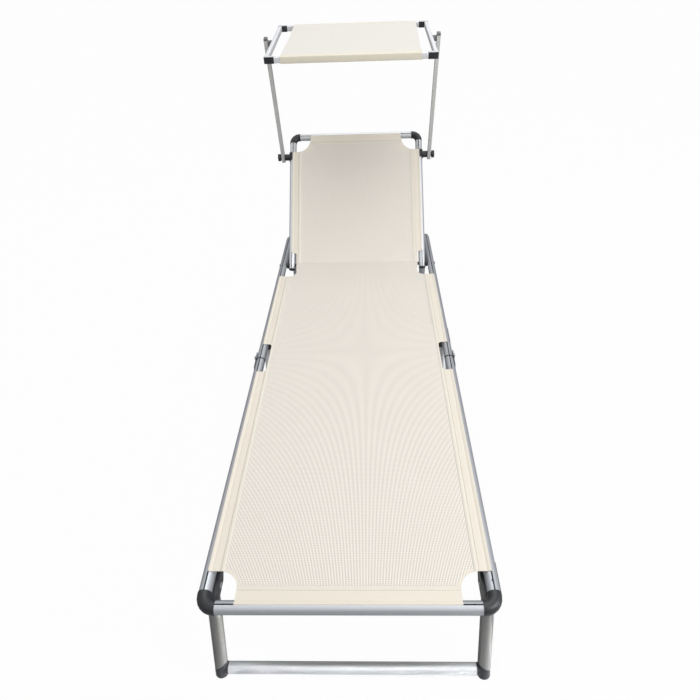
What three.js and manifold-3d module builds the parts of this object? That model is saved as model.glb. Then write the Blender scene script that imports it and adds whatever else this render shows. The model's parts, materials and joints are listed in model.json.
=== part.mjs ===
// Folding sun lounger with a tilting canopy. Millimetres, +X to the right seen from the foot end,
// +Y towards the head, +Z up. The bed frame has its origin under the middle of the foot crossbar's
// outer edge, on the plane of the tube centres; the finished group stands on z = 0.
import * as THREE from "three";
import { mergeVertices } from "three/addons/utils/BufferGeometryUtils.js";
import Module from "manifold-3d";

const wasm = await Module();
wasm.setup();

// Driving sizes of the bed.
const bedHeight = 243;
const railSpread = 554;
const railRadius = 13;
const tubeWall = 1.4;
const slotWidth = 3;
const foldAt = 747;
const pivotAt = 1314.5;
const railRunPastPivot = 202.5;
const rearBendRadius = 60;
const rearRake = THREE.MathUtils.degToRad(11);
const railX = railSpread / 2;
const crossbarAt = railRadius;

// Driving sizes of the backrest, the prop and the pivots.
const pivotSpace = 7.3;
const backRadius = 12.4;
const backLength = 522;
const backStub = 18;
const recline = THREE.MathUtils.degToRad(42.6);
const backX = railX - railRadius - pivotSpace - backRadius;
const propPivotAt = 95;
const propLength = 115;
const propDrop = 18.5;
const propArmInset = 9.9;
const propBarPlay = 1.5;
const wireRadius = 4;
const propArmX = backX - backRadius - propArmInset;
const propBarReach = railX - railRadius - propBarPlay;
const propAngle = Math.asin((propPivotAt * Math.sin(recline) + propDrop) / propLength);

// Driving sizes of the folding legs, alike at the foot end and in the middle.
const legInset = 0.8;
const legRadius = 13.6;
const floorBarRadius = 12.4;
const legLean = THREE.MathUtils.degToRad(21.4);
const frontLegSet = 60;
const middleLegSet = 128;
const saddleWall = 2;
const legPlay = 0.8;
const barHeight = 18;
const legX = railX - legInset;
const frontLegAt = crossbarAt + frontLegSet;
const middleLegAt = foldAt + middleLegSet;

// Driving sizes of the canopy and its arms.
const armBelowHead = 82;
const armLength = 419;
const armLean = THREE.MathUtils.degToRad(13.3);
const armWide = 12;
const armDeep = 20;
const armOffset = 33.1;
const hubLength = 13.4;
const canopyTilt = THREE.MathUtils.degToRad(4.8);
const canopyFront = 199;
const canopyBack = 201;
const barWide = 12;
const barTall = 18;
const clothInset = 49;
const armAt = backLength - armBelowHead;
const armInnerX = backX + armOffset;
const canopyHalf = armInnerX - hubLength;
const clothWidth = canopyHalf + canopyHalf - clothInset - clothInset;

// Clearances, one overrun for every cut, and the facets of round shapes.
const gap = 0.3;
const turnPlay = 0.16;
const overrun = 40;
const weldGap = 0.0005;
const roundSides = 20;
const smallSides = 12;
const bendSteps = 6;
const quarter = Math.PI / 2;
const turn = Math.PI * 2;

// Seats derived from the sizes above.
const legDrop = railRadius + gap + saddleWall + legPlay + legRadius;
const barDrop = bedHeight - barHeight;
const legReach = (barDrop - legDrop) / Math.cos(legLean);
const tubeInside = railRadius - tubeWall;
const backInside = backRadius - tubeWall;
const legInside = legRadius - tubeWall;
const floorBarInside = floorBarRadius - tubeWall;
const boltRadius = 4;
const boltHole = boltRadius + turnPlay;

const xAxis = new THREE.Vector3(1, 0, 0);
const yAxis = new THREE.Vector3(0, 1, 0);
const zAxis = new THREE.Vector3(0, 0, 1);

const finishes = {
  silver: { color: 0xc6c8c9, roughness: 0.38, metalness: 0.85 },
  armGrey: { color: 0x9a9da0, roughness: 0.45, metalness: 0.7 },
  steel: { color: 0xa9abad, roughness: 0.4, metalness: 0.9 },
  black: { color: 0x17181c, roughness: 0.42, metalness: 0 },
  darkGrey: { color: 0x3c3e42, roughness: 0.5, metalness: 0 },
  mesh: { color: 0xe6e0cf, roughness: 0.85, metalness: 0 },
  cloth: { color: 0xeae6da, roughness: 0.9, metalness: 0 },
};

// A closed geometry as a solid that can be joined and cut.
function solidOf(geometry) {
  geometry.deleteAttribute("normal");
  geometry.deleteAttribute("uv");
  const merged = mergeVertices(geometry, weldGap);
  return new wasm.Manifold(new wasm.Mesh({
    numProp: 3,
    vertProperties: merged.attributes.position.array,
    triVerts: new Uint32Array(merged.index.array),
  }));
}

// A solid back as a flat-shaded geometry.
function geometryOf(solid) {
  const made = solid.getMesh();
  const geometry = new THREE.BufferGeometry();
  geometry.setAttribute("position", new THREE.BufferAttribute(made.vertProperties, 3));
  geometry.setIndex(new THREE.BufferAttribute(made.triVerts, 1));
  const flat = geometry.toNonIndexed();
  flat.computeVertexNormals();
  return flat;
}

function mesh(name, solid, finish) {
  const material = new THREE.MeshStandardMaterial(finishes[finish]);
  const made = new THREE.Mesh(geometryOf(solid), material);
  made.name = name;
  return made;
}

// The same piece on both sides: the right one as drawn, the left one mirrored.
function pair(group, name, solid, finish) {
  const right = mesh(name + "_right", solid, finish);
  const left = mesh(name + "_left", solid, finish);
  left.scale.x = -1;
  group.add(right, left);
  return [right, left];
}

// A skin through equal rings of a profile, closed at both ends. In each frame side x rise points
// the way the skin runs.
function loft(profile, frames) {
  const positions = [];
  for (const { centre, side, rise, size } of frames) {
    for (const [a, b] of profile) {
      const p = centre.clone().addScaledVector(side, a * size).addScaledVector(rise, b * size);
      positions.push(p.x, p.y, p.z);
    }
  }
  const count = profile.length;
  const index = [];
  for (let ring = 0; ring < frames.length - 1; ring++) {
    for (let i = 0; i < count; i++) {
      const a = ring * count + i;
      const b = ring * count + (i + 1) % count;
      index.push(a, b, b + count, a, b + count, a + count);
    }
  }
  const outline = profile.map(([a, b]) => new THREE.Vector2(a, b));
  const last = (frames.length - 1) * count;
  for (const [a, b, c] of THREE.ShapeUtils.triangulateShape(outline, [])) {
    index.push(c, b, a, last + a, last + b, last + c);
  }
  const geometry = new THREE.BufferGeometry();
  geometry.setAttribute("position", new THREE.Float32BufferAttribute(positions, 3));
  geometry.setIndex(index);
  return solidOf(geometry);
}

function circle(sides) {
  return Array.from({ length: sides }, (_, i) => {
    const angle = (turn * i) / sides;
    return [Math.cos(angle), Math.sin(angle)];
  });
}

// A turned solid: stations are [distance along the direction, radius].
function turned(start, direction, stations, sides = roundSides) {
  const rise = Math.abs(direction.z) < Math.SQRT1_2 ? zAxis.clone() : xAxis.clone();
  rise.addScaledVector(direction, -rise.dot(direction)).normalize();
  const side = rise.clone().cross(direction);
  const frames = stations.map(([distance, radius]) => ({
    centre: start.clone().addScaledVector(direction, distance), side, rise, size: radius,
  }));
  return loft(circle(sides), frames);
}

function rod(radius, start, direction, length, sides = roundSides) {
  return turned(start, direction, [[0, radius], [length, radius]], sides);
}

function pipe(radius, wall, start, direction, length) {
  const bore = start.clone().addScaledVector(direction, -overrun);
  const hollow = rod(radius - wall, bore, direction, length + overrun + overrun);
  return rod(radius, start, direction, length).subtract(hollow);
}

function box(x0, x1, y0, y1, z0, z1) {
  const geometry = new THREE.BoxGeometry(x1 - x0, y1 - y0, z1 - z0);
  geometry.translate((x0 + x1) / 2, (y0 + y1) / 2, (z0 + z1) / 2);
  return solidOf(geometry);
}

function extruded(points, depth, basis, shift) {
  const shape = new THREE.Shape(points.map(([a, b]) => new THREE.Vector2(a, b)));
  const geometry = new THREE.ExtrudeGeometry(shape, { depth, bevelEnabled: false });
  geometry.applyMatrix4(new THREE.Matrix4().makeBasis(...basis).setPosition(shift));
  return solidOf(geometry);
}

// A side outline of [y, z] points, extruded from x0 to x1.
function acrossX(points, x0, x1) {
  return extruded(points, x1 - x0, [yAxis, zAxis, xAxis], new THREE.Vector3(x0, 0, 0));
}

// A cross-section of [x, z] points, extruded from y0 to y1.
function alongY(points, y0, y1) {
  const basis = [xAxis, zAxis, yAxis.clone().negate()];
  return extruded(points, y1 - y0, basis, new THREE.Vector3(0, y1, 0));
}

// A plan of [x, y] points, extruded from z0 to z1.
function upZ(points, z0, z1) {
  return extruded(points, z1 - z0, [xAxis, yAxis, zAxis], new THREE.Vector3(0, 0, z0));
}

function joined(first, ...others) {
  return others.reduce((sum, next) => sum.add(next), first);
}

function cut(first, ...others) {
  return others.reduce((rest, next) => rest.subtract(next), first);
}

// Rounded rectangle, counted from its centre.
const cornerSteps = 3;
function roundedOutline(width, height, radius) {
  const centres = [[1, 1], [-1, 1], [-1, -1], [1, -1]];
  return centres.flatMap(([a, b], k) => Array.from({ length: cornerSteps + 1 }, (_, i) => {
    const angle = quarter * (k + i / cornerSteps);
    const x = a * (width / 2 - radius) + radius * Math.cos(angle);
    const z = b * (height / 2 - radius) + radius * Math.sin(angle);
    return [x, z];
  }));
}

// Tubes with a slot along the top for the sling's edge cord.

const slotSides = 18;
function slottedProfile(radius) {
  const inside = radius - tubeWall;
  const outer = Math.asin(slotWidth / 2 / radius);
  const inner = Math.asin(slotWidth / 2 / inside);
  const arc = (size, opening) => Array.from({ length: slotSides + 1 }, (_, i) => {
    const angle = quarter + opening + (turn - opening - opening) * (i / slotSides);
    return [size * Math.cos(angle), size * Math.sin(angle)];
  });
  return [...arc(radius, outer), ...arc(inside, inner).reverse()];
}

const backwards = xAxis.clone().negate();
function tubeFrame(centre, direction) {
  return { centre, side: backwards, rise: direction.clone().cross(backwards), size: 1 };
}

function slottedAlongY(radius, x, y0, y1) {
  const frames = [y0, y1].map((y) => tubeFrame(new THREE.Vector3(x, y, 0), yAxis));
  return loft(slottedProfile(radius), frames);
}

function slottedAlongX(radius, y, reach) {
  const frames = [-reach, reach].map((x) => (
    { centre: new THREE.Vector3(x, y, 0), side: yAxis, rise: zAxis, size: 1 }
  ));
  return loft(slottedProfile(radius), frames);
}

// Black corner elbows of the bed and the backrest.

// The elbow lies in the XY plane: its collars end at sideEnd on the side tube and barEnd on the
// crossbar, and a spigot runs on from each collar into its tube.
const spigotLength = 14;
const spigotPlay = 0.4;
function elbow(tubeX, barY, bend, collar, inside, sideEnd, barEnd) {
  const sign = Math.sign(barY - sideEnd);
  const spigot = inside - spigotPlay;
  const frames = [];
  const place = (x, y, direction, size) => frames.push({
    centre: new THREE.Vector3(x, y, 0), side: zAxis.clone().cross(direction).negate(), rise: zAxis, size,
  });
  const along = yAxis.clone().multiplyScalar(sign);
  place(tubeX, sideEnd - sign * spigotLength, along, spigot);
  place(tubeX, sideEnd, along, spigot);
  place(tubeX, sideEnd, along, collar);
  for (let i = 0; i <= bendSteps; i++) {
    const angle = quarter * (i / bendSteps);
    const direction = new THREE.Vector3(-Math.sin(angle), sign * Math.cos(angle), 0);
    const x = tubeX - bend * (1 - Math.cos(angle));
    const y = barY - sign * bend * (1 - Math.sin(angle));
    place(x, y, direction, collar);
  }
  place(barEnd, barY, backwards, collar);
  place(barEnd, barY, backwards, spigot);
  place(barEnd - spigotLength, barY, backwards, spigot);
  for (const frame of frames) frame.side.negate();
  return loft(circle(roundSides), frames);
}

// Corner feet and floor bars.

const footSeam = 11.5;
const seamRise = 17;
const footSpigot = 13;
const footSocket = 16;
const footSteps = [[-18, 4], [-16.8, 1.4], [-14, 0]];

// The slanting cut between a leg and its corner foot, as the solid above the seam, with the crossing
// of leg and bar at the given level.
function aboveSeam(radius, level, rise) {
  const slope = seamRise / (radius + radius);
  const outer = radius + gap;
  const seam = level + rise;
  const top = level + overrun + overrun;
  const points = [
    [-outer, seam + slope * outer], [outer, seam - slope * outer], [outer, top], [-outer, top],
  ];
  return alongY(points, -outer, outer);
}

// The foot at the right end of a floor bar, about the crossing of leg and bar, with the leg along
// +Z. The floor cut turns with the leg's lean.
function cornerFoot(radius, inside, lean) {
  const origin = new THREE.Vector3(0, 0, 0);
  const stations = footSteps.map(([z, inset]) => [z, radius - inset]);
  const post = turned(origin, zAxis, [...stations, [overrun, radius]]);
  const stub = rod(floorBarRadius, origin, backwards, footSocket);
  const plug = rod(floorBarInside - spigotPlay, origin, backwards, footSocket + spigotLength);
  const spigotTop = footSeam + footSpigot;
  const spigot = rod(inside - spigotPlay, origin, zAxis, spigotTop);
  const below = new THREE.BoxGeometry(overrun + overrun, overrun + overrun, overrun);
  below.translate(0, 0, -barHeight - overrun / 2);
  below.rotateX(lean);
  const foot = cut(post, aboveSeam(radius, 0, footSeam));
  return cut(joined(foot, stub, plug, spigot), solidOf(below));
}

function floorBar(reach) {
  const start = new THREE.Vector3(-reach, 0, 0);
  return pipe(floorBarRadius, tubeWall, start, xAxis, reach + reach);
}

// Folding legs and their brackets.

const plugDepth = 14;
const domeSteps = 3;
const pinHole = boltRadius + turnPlay;

// The leg runs down from its pivot at the origin, along -Z.
function legTube() {
  const down = zAxis.clone().negate();
  const dome = Array.from({ length: domeSteps }, (_, i) => {
    const angle = quarter * ((i + 1) / (domeSteps + 1));
    return [-legRadius * Math.cos(angle), legRadius * Math.sin(angle)];
  });
  const origin = new THREE.Vector3(0, 0, 0);
  const outer = turned(origin, down, [...dome, [0, legRadius], [legReach, legRadius]]);
  const hollow = rod(legInside, new THREE.Vector3(0, 0, -plugDepth), down, legReach);
  const hole = rod(pinHole, new THREE.Vector3(-overrun, 0, 0), xAxis, overrun + overrun, smallSides);
  const kept = aboveSeam(legRadius, -legReach, footSeam + gap);
  const top = new THREE.Vector3(0, 0, legRadius);
  const upper = rod(legRadius + gap, top, down, legReach - overrun);
  return cut(outer.intersect(joined(kept, upper)), hollow, hole);
}

const cheekWall = 3.4;
const bracketFoot = 33;
const bracketHead = 37;
const bracketTop = 9;
const bracketBottom = 42;
const bracketChamfer = 12;
const bracketSlope = 20;
const rivetRadius = 6;
const rivetProud = 1.2;

// Black saddle under a rail, about the leg's pivot in y and the tube centres in z. It is relieved
// for a corner elbow that ends at the given y.
function legBracket(elbowEnd) {
  const inner = legX - legRadius - gap - cheekWall;
  const outer = legX + legRadius + gap + cheekWall;
  const outline = [
    [-bracketFoot, -bracketTop], [-bracketFoot, -bracketBottom + bracketChamfer],
    [-bracketFoot + bracketChamfer, -bracketBottom], [bracketHead - bracketSlope, -bracketBottom],
    [bracketHead, -bracketBottom + bracketSlope], [bracketHead, -bracketTop],
  ];
  const body = acrossX(outline, inner, outer);
  const start = new THREE.Vector3(railX, -overrun, 0);
  const rail = joined(rod(railRadius + gap, start, yAxis, overrun + overrun),
    rod(elbowCollar + gap, start, yAxis, overrun + elbowEnd + gap));
  const stop = legRadius + gap;
  const lineAt = (z) => -stop / Math.cos(legLean) + (z + legDrop) * Math.tan(legLean);
  const roof = -railRadius - gap - saddleWall;
  const swing = [
    [lineAt(roof), roof], [lineAt(-overrun - overrun), -overrun - overrun],
    [overrun + overrun, -overrun - overrun], [overrun + overrun, roof],
  ];
  const space = acrossX(swing, inner + cheekWall, outer - cheekWall);
  const pin = rod(boltRadius, new THREE.Vector3(inner - rivetProud, 0, -legDrop), xAxis,
    outer - inner + rivetProud + rivetProud, smallSides);
  const heads = [[inner, backwards], [outer, xAxis]].map(([x, direction]) => turned(
    new THREE.Vector3(x, 0, -legDrop), direction,
    [[-rivetProud, rivetRadius], [rivetProud / 2, rivetRadius], [rivetProud, rivetRadius / 2]],
    smallSides));
  return joined(cut(body, rail, space), pin, ...heads);
}

function foldingLeg(name, at) {
  const group = new THREE.Group();
  group.name = name + "_leg_body";
  group.position.set(0, at, -legDrop);
  group.rotation.x = -legLean;
  const tubes = pair(group, name + "_leg", legTube(), "silver");
  const feet = pair(group, name + "_foot", cornerFoot(legRadius, legInside, legLean), "black");
  tubes[0].position.x = legX;
  tubes[1].position.x = -legX;
  feet[0].position.set(legX, 0, -legReach);
  feet[1].position.set(-legX, 0, -legReach);
  const bar = mesh(name + "_floor_bar", floorBar(legX - footSocket - gap), "silver");
  bar.position.z = -legReach;
  group.add(bar);
  return group;
}

// Mid fold: leaf plates outside the rails, turning about the rails' top.

const leafThick = 1.2;
const leafReach = 37;
const leafTall = 15;
const earRadius = 5;
const leafSkew = 4;
const foldPin = 2.2;
const foldPinHead = 3.4;
const foldPinProud = 0.5;

function leafOutline(side, start) {
  return [
    [side * start, -leafTall / 2], [side * (leafReach - leafSkew), -leafTall / 2],
    [side * leafReach, -leafTall / 2 + leafSkew], [side * leafReach, leafTall / 2 - leafSkew],
    [side * (leafReach - leafSkew), leafTall / 2], [side * start, leafTall / 2],
  ];
}

function counterclockwise(points) {
  const shape = points.map(([a, b]) => new THREE.Vector2(a, b));
  return THREE.ShapeUtils.isClockWise(shape) ? [...points].reverse() : points;
}

// Leaf with an ear about the fold's axis, given from x0 outwards, on the foot side or the head side.
function leaf(side, x0, x1) {
  const plate = acrossX(counterclockwise(leafOutline(side, gap)), x0, x1);
  const ear = rod(earRadius, new THREE.Vector3(x0, 0, railRadius), xAxis, x1 - x0, smallSides);
  const neckTop = railRadius + earRadius / 2;
  const neck = acrossX(counterclockwise([
    [side * gap, 0], [side * (earRadius + leafSkew), 0],
    [side * earRadius, railRadius], [side * earRadius / 2, neckTop], [side * gap, neckTop],
  ]), x0, x1);
  return joined(plate, ear, neck);
}

const leafInner = railX + railRadius + gap;
function footLeaf() {
  const hole = rod(foldPin + turnPlay, new THREE.Vector3(0, 0, railRadius), xAxis,
    railX + overrun, smallSides);
  return cut(leaf(-1, leafInner, leafInner + leafThick), hole);
}

function seatLeaf() {
  const outer = leafInner + leafThick + gap;
  const packer = box(leafInner, outer + gap, earRadius + leafSkew + gap, leafReach - leafSkew,
    -leafTall / 2 + leafSkew, leafTall / 2 - leafSkew);
  const pin = turned(new THREE.Vector3(leafInner - gap / 2, 0, railRadius), xAxis, [
    [0, foldPin], [outer + leafThick - leafInner, foldPin],
    [outer + leafThick - leafInner, foldPinHead],
    [outer + leafThick + foldPinProud - leafInner, foldPin],
  ], smallSides);
  return joined(leaf(1, outer, outer + leafThick), packer, pin);
}

// Slings.

const clothThick = 1;
const clothDip = 1.5;
const cordRadius = 2.4;
const cordDepth = 5.4;
const cordSides = 10;
const wrapSteps = 4;

// The strip's outline at a constant thickness about a line of points.
function ribbon(line, thickness) {
  const side = (sign) => line.map(([x, z], i) => {
    const [x0, z0] = line[Math.max(i - 1, 0)];
    const [x1, z1] = line[Math.min(i + 1, line.length - 1)];
    const length = Math.hypot(x1 - x0, z1 - z0);
    const shift = (sign * thickness) / 2 / length;
    return [x - (z1 - z0) * shift, z + (x1 - x0) * shift];
  });
  return counterclockwise([...side(1), ...side(-1).reverse()]);
}

// The cloth's edge: over the tube's inner side and down its slot to the cord, with the tube's
// centre at [at, 0] and the panel towards lower values. Returns the outline and the cord's centre.
function wrapLine(at, radius) {
  const middle = radius + gap + clothThick / 2;
  const level = radius - clothDip;
  const start = Math.PI - Math.asin(level / middle);
  const line = [[at - radius - clothDip, level]];
  for (let i = 0; i <= wrapSteps; i++) {
    const angle = start + (quarter - start) * (i / wrapSteps);
    line.push([at + middle * Math.cos(angle), middle * Math.sin(angle)]);
  }
  line.push([at, radius - cordDepth]);
  return line;
}

function sideWrap(at, radius, y0, y1) {
  const strip = alongY(ribbon(wrapLine(at, radius), clothThick), y0, y1);
  const cord = rod(cordRadius, new THREE.Vector3(at, y0, radius - cordDepth), yAxis, y1 - y0, cordSides);
  return joined(strip, cord);
}

// The same edge over a crossbar, its panel towards higher y (sign -1) or lower y (sign 1).
function endWrap(at, radius, reach, sign) {
  const line = wrapLine(0, radius).map(([y, z]) => [at + sign * y, z]);
  const strip = acrossX(ribbon(line, clothThick), -reach, reach);
  const start = new THREE.Vector3(-reach, at, radius - cordDepth);
  return joined(strip, rod(cordRadius, start, xAxis, reach + reach, cordSides));
}

function flatPanel(plan, radius) {
  const level = radius - clothDip;
  const mirrored = plan.map(([x, y]) => [-x, y]).reverse();
  return upZ(counterclockwise([...plan, ...mirrored]), level - clothThick / 2, level + clothThick / 2);
}

function mirroredX(solid) {
  const geometry = geometryOf(solid);
  geometry.scale(-1, 1, 1);
  const p = geometry.attributes.position;
  for (let i = 0; i < p.count; i += 3) {
    const a = new THREE.Vector3().fromBufferAttribute(p, i);
    const b = new THREE.Vector3().fromBufferAttribute(p, i + 1);
    p.setXYZ(i, b.x, b.y, b.z);
    p.setXYZ(i + 1, a.x, a.y, a.z);
  }
  return solidOf(geometry);
}

const footCutDeep = 66;
const footCutInset = 22;
const footCutRadius = 38;
const footCutSlant = 3;
const midCutInset = 26;
const midCutBefore = 63;
const midCutPast = 65;
const midCutRadius = 11;
const pivotCutInset = 17.3;
const pivotCutSlant = 7;
const seatCutDeep = 100.5;
const seatCutRadius = 28;
const backCutDeep = 50;
const backCutSlant = 8;
const headCutDeep = 67;
const headCutInset = 68.3;
const footCutX = railX - footCutInset;
const footCutReach = footCutX - footCutRadius - footCutSlant;
const footCutEnd = crossbarAt + footCutDeep;
const midCutX = railX - midCutInset;
const midCutFoot = foldAt - midCutBefore;
const midCutHead = foldAt + midCutPast;
const pivotCutX = backX - pivotCutInset;
const seatSideEnd = pivotAt - seatCutDeep;
const backSideStart = backCutDeep;
const backSideEnd = backLength - headCutDeep;
const headCutReach = backX - headCutInset;
const cutSteps = 4;

// The rounded corner of a foot cut-out, from its edge along the bed to its edge across the bed.
function cutArc(x, y, radius) {
  return Array.from({ length: cutSteps + 1 }, (_, i) => {
    const angle = quarter * (i / cutSteps);
    return [x + radius * (1 - Math.cos(angle)), y + radius * Math.sin(angle)];
  });
}

// The rounded corner of another cut-out, from its edge across the bed to its edge along the bed.
function cornerArc(x, y, radius, sign) {
  return Array.from({ length: cutSteps + 1 }, (_, i) => {
    const angle = quarter * (i / cutSteps);
    return [x + radius * (1 - Math.sin(angle)), y + sign * radius * (1 - Math.cos(angle))];
  });
}

const panelEdge = (tubeX, radius) => tubeX - radius - clothDip + gap;

function footSling() {
  const edge = panelEdge(railX, railRadius);
  const start = crossbarAt + railRadius + clothDip - gap;
  const arcY = footCutEnd - footCutRadius;
  const arc = cutArc(footCutReach, arcY, footCutRadius);
  const plan = [
    [footCutReach, start], ...arc, [footCutX, footCutEnd], [edge, footCutEnd],
    [edge, midCutFoot], ...cornerArc(midCutX, midCutFoot, midCutRadius, 1),
    [midCutX, foldAt - gap],
  ];
  const wrap = sideWrap(railX, railRadius, footCutEnd, midCutFoot);
  const end = endWrap(crossbarAt, railRadius, footCutReach, -1);
  return joined(flatPanel(plan, railRadius), wrap, mirroredX(wrap), end);
}

const creaseShift = (railRadius - clothDip) * Math.tan(recline / 2);
function seatSling() {
  const edge = panelEdge(railX, railRadius);
  const middle = cornerArc(midCutX, midCutHead, midCutRadius, -1).reverse();
  const corner = cornerArc(pivotCutX - pivotCutSlant, seatSideEnd, seatCutRadius, 1);
  const plan = [
    [midCutX, foldAt + gap], ...middle, [edge, midCutHead], [edge, seatSideEnd], ...corner,
    [pivotCutX, pivotAt - creaseShift - gap],
  ];
  const wrap = sideWrap(railX, railRadius, midCutHead, seatSideEnd);
  return joined(flatPanel(plan, railRadius), wrap, mirroredX(wrap));
}

function backSling() {
  const edge = panelEdge(backX, backRadius);
  const end = backLength - backRadius - clothDip + gap;
  const plan = [
    [pivotCutX, creaseShift + gap], [pivotCutX, backSideStart - backCutSlant], [edge, backSideStart],
    [edge, backSideEnd], [headCutReach, backSideEnd], [headCutReach, end],
  ];
  const wrap = sideWrap(backX, backRadius, backSideStart, backSideEnd);
  const top = endWrap(backLength, backRadius, headCutReach, 1);
  return joined(flatPanel(plan, backRadius), wrap, mirroredX(wrap), top);
}

// Foot section.

const elbowCollar = 14;
const footElbowBend = 23;
const footElbowReach = 28.5;
const footElbowInset = 26;
const footElbowSide = crossbarAt + footElbowReach;
const footElbowBar = railX - footElbowInset;
const tubePlug = 3.5;
const plugBite = 0.7;

// Closes a slotted tube's end with its plug, from y to the given side.
function endPlug(x, radius, y, side) {
  const direction = yAxis.clone().multiplyScalar(side);
  return rod(radius - plugBite, new THREE.Vector3(x, y, 0), direction, tubePlug, slotSides);
}

function footSection() {
  const group = new THREE.Group();
  group.name = "foot_section_body";
  const end = foldAt - gap;
  const rail = joined(slottedAlongY(railRadius, railX, footElbowSide + gap, end),
    endPlug(railX, railRadius, end, -1));
  pair(group, "foot_rail", rail, "silver");
  const corner = elbow(railX, crossbarAt, footElbowBend, elbowCollar, tubeInside,
    footElbowSide, footElbowBar);
  pair(group, "foot_elbow", corner, "black");
  const bar = slottedAlongX(railRadius, crossbarAt, footElbowBar - gap);
  group.add(mesh("foot_crossbar", bar, "silver"));
  group.add(mesh("foot_sling", footSling(), "mesh"));
  const frontBracket = legBracket(footElbowSide - frontLegAt);
  for (const made of pair(group, "foot_hinge_leaf", footLeaf(), "steel")) made.position.y = foldAt;
  for (const made of pair(group, "front_leg_bracket", frontBracket, "black")) {
    made.position.y = frontLegAt;
  }
  return group;
}

// Seat frame with the rear legs.

const rackStart = 46;
const rackEnd = 221;
const rackFlangeEnd = 198;
const rackWide = 5.6;
const rackHug = 7.8;
const rackSet = 0.8;
const rackTeethX = railX - railRadius - rackSet;
const rackInnerX = rackTeethX - rackWide;
const rackOuterX = rackTeethX + rackHug;
const rackTop = 7;
const rackBottom = 36;
const notchCount = 6;
const barPlay = 0.4;

function seatRail() {
  const bendAt = pivotAt + railRunPastPivot;
  const sweep = quarter - rearRake;
  const frames = [tubeFrame(new THREE.Vector3(railX, foldAt + gap, 0), yAxis)];
  for (let i = 0; i <= bendSteps; i++) {
    const angle = sweep * (i / bendSteps);
    const y = bendAt + rearBendRadius * Math.sin(angle);
    const z = -rearBendRadius * (1 - Math.cos(angle));
    const direction = new THREE.Vector3(0, Math.cos(angle), -Math.sin(angle));
    frames.push(tubeFrame(new THREE.Vector3(railX, y, z), direction));
  }
  const last = frames[frames.length - 1].centre;
  const down = new THREE.Vector3(0, Math.sin(rearRake), -Math.cos(rearRake));
  const length = (barDrop + last.z) / Math.cos(rearRake);
  const foot = last.clone().addScaledVector(down, length);
  frames.push(tubeFrame(foot, down));
  const tube = joined(loft(slottedProfile(railRadius), frames),
    endPlug(railX, railRadius, foldAt + gap, 1));
  const hole = rod(boltHole, new THREE.Vector3(0, pivotAt, 0), xAxis, railX + overrun, smallSides);
  return { tube: cut(tube, hole, belowSeam(foot)), foot };
}

// What lies below the slanting seam of a rear foot, as a cutter in the bed's frame.
function belowSeam(foot) {
  const slope = seamRise / (railRadius + railRadius);
  const outer = railRadius + gap;
  const seam = footSeam + gap;
  const points = [
    [-outer, seam + slope * outer], [-outer, -overrun], [outer, -overrun],
    [outer, seam - slope * outer],
  ];
  const wedge = alongY(points, -outer, outer);
  const geometry = geometryOf(wedge);
  geometry.rotateX(rearRake);
  geometry.translate(foot.x, foot.y, foot.z);
  return solidOf(geometry);
}

// Notched strip on the rail's inner side for the prop's bar, in the bed's frame about the pivot.
function propRack() {
  const tips = -propDrop - wireRadius - barPlay;
  const strip = box(rackInnerX, rackTeethX + gap, rackStart, rackEnd, -rackBottom, tips);
  const flange = box(rackTeethX, rackOuterX, rackStart, rackFlangeEnd, -rackBottom, -rackTop);
  const web = box(rackTeethX, rackOuterX - railRadius / 2, rackStart, rackEnd, -rackBottom, tips);
  const rail = rod(railRadius + gap, new THREE.Vector3(railX, 0, 0), yAxis, rackEnd + overrun);
  const rest = propPivotAt * Math.cos(recline) + propLength * Math.cos(propAngle);
  const flat = propPivotAt + Math.sqrt(propLength ** 2 - propDrop ** 2);
  const pitch = (flat - rest) / 2;
  const notches = Array.from({ length: notchCount }, (_, i) => {
    const start = new THREE.Vector3(rackInnerX - gap, flat - pitch * i, tips);
    return rod(wireRadius + barPlay, start, xAxis, rackTeethX - rackInnerX + gap, smallSides);
  });
  return cut(joined(strip, flange, web), rail, ...notches);
}

function seatFrame() {
  const group = new THREE.Group();
  group.name = "seat_frame_body";
  const { tube, foot } = seatRail();
  pair(group, "seat_rail", tube, "silver");
  const feet = pair(group, "rear_foot", cornerFoot(railRadius, tubeInside, -rearRake), "black");
  for (const [i, made] of feet.entries()) {
    made.position.set(i === 0 ? foot.x : -foot.x, foot.y, foot.z);
    made.rotation.x = rearRake;
  }
  const bar = mesh("rear_floor_bar", floorBar(railX - footSocket - gap), "silver");
  bar.position.set(0, foot.y, foot.z);
  group.add(bar, mesh("seat_sling", seatSling(), "mesh"));
  for (const made of pair(group, "seat_hinge_leaf", seatLeaf(), "steel")) made.position.y = foldAt;
  for (const made of pair(group, "prop_rack", propRack(), "black")) made.position.y = pivotAt;
  for (const made of pair(group, "middle_leg_bracket", legBracket(-bracketFoot), "black")) {
    made.position.y = middleLegAt;
  }
  return group;
}

// Backrest with its pivots and prop.

const headElbowBend = 24;
const headElbowReach = 26;
const headElbowInset = 27.7;
const headElbowSide = backLength - headElbowReach;
const headElbowBar = backX - headElbowInset;
const headCollar = 13.4;
const capThick = 4;
const capRound = 2;
const capSpigot = 9;
const spacerRadius = 11;
const boltHead = 6;
const boltProud = 1.8;
const nutLength = 6;
const nutSides = 6;
const propPinBite = 3.1;
const propPinEnd = backX - backRadius + propPinBite;
const propBend = 7;

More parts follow.
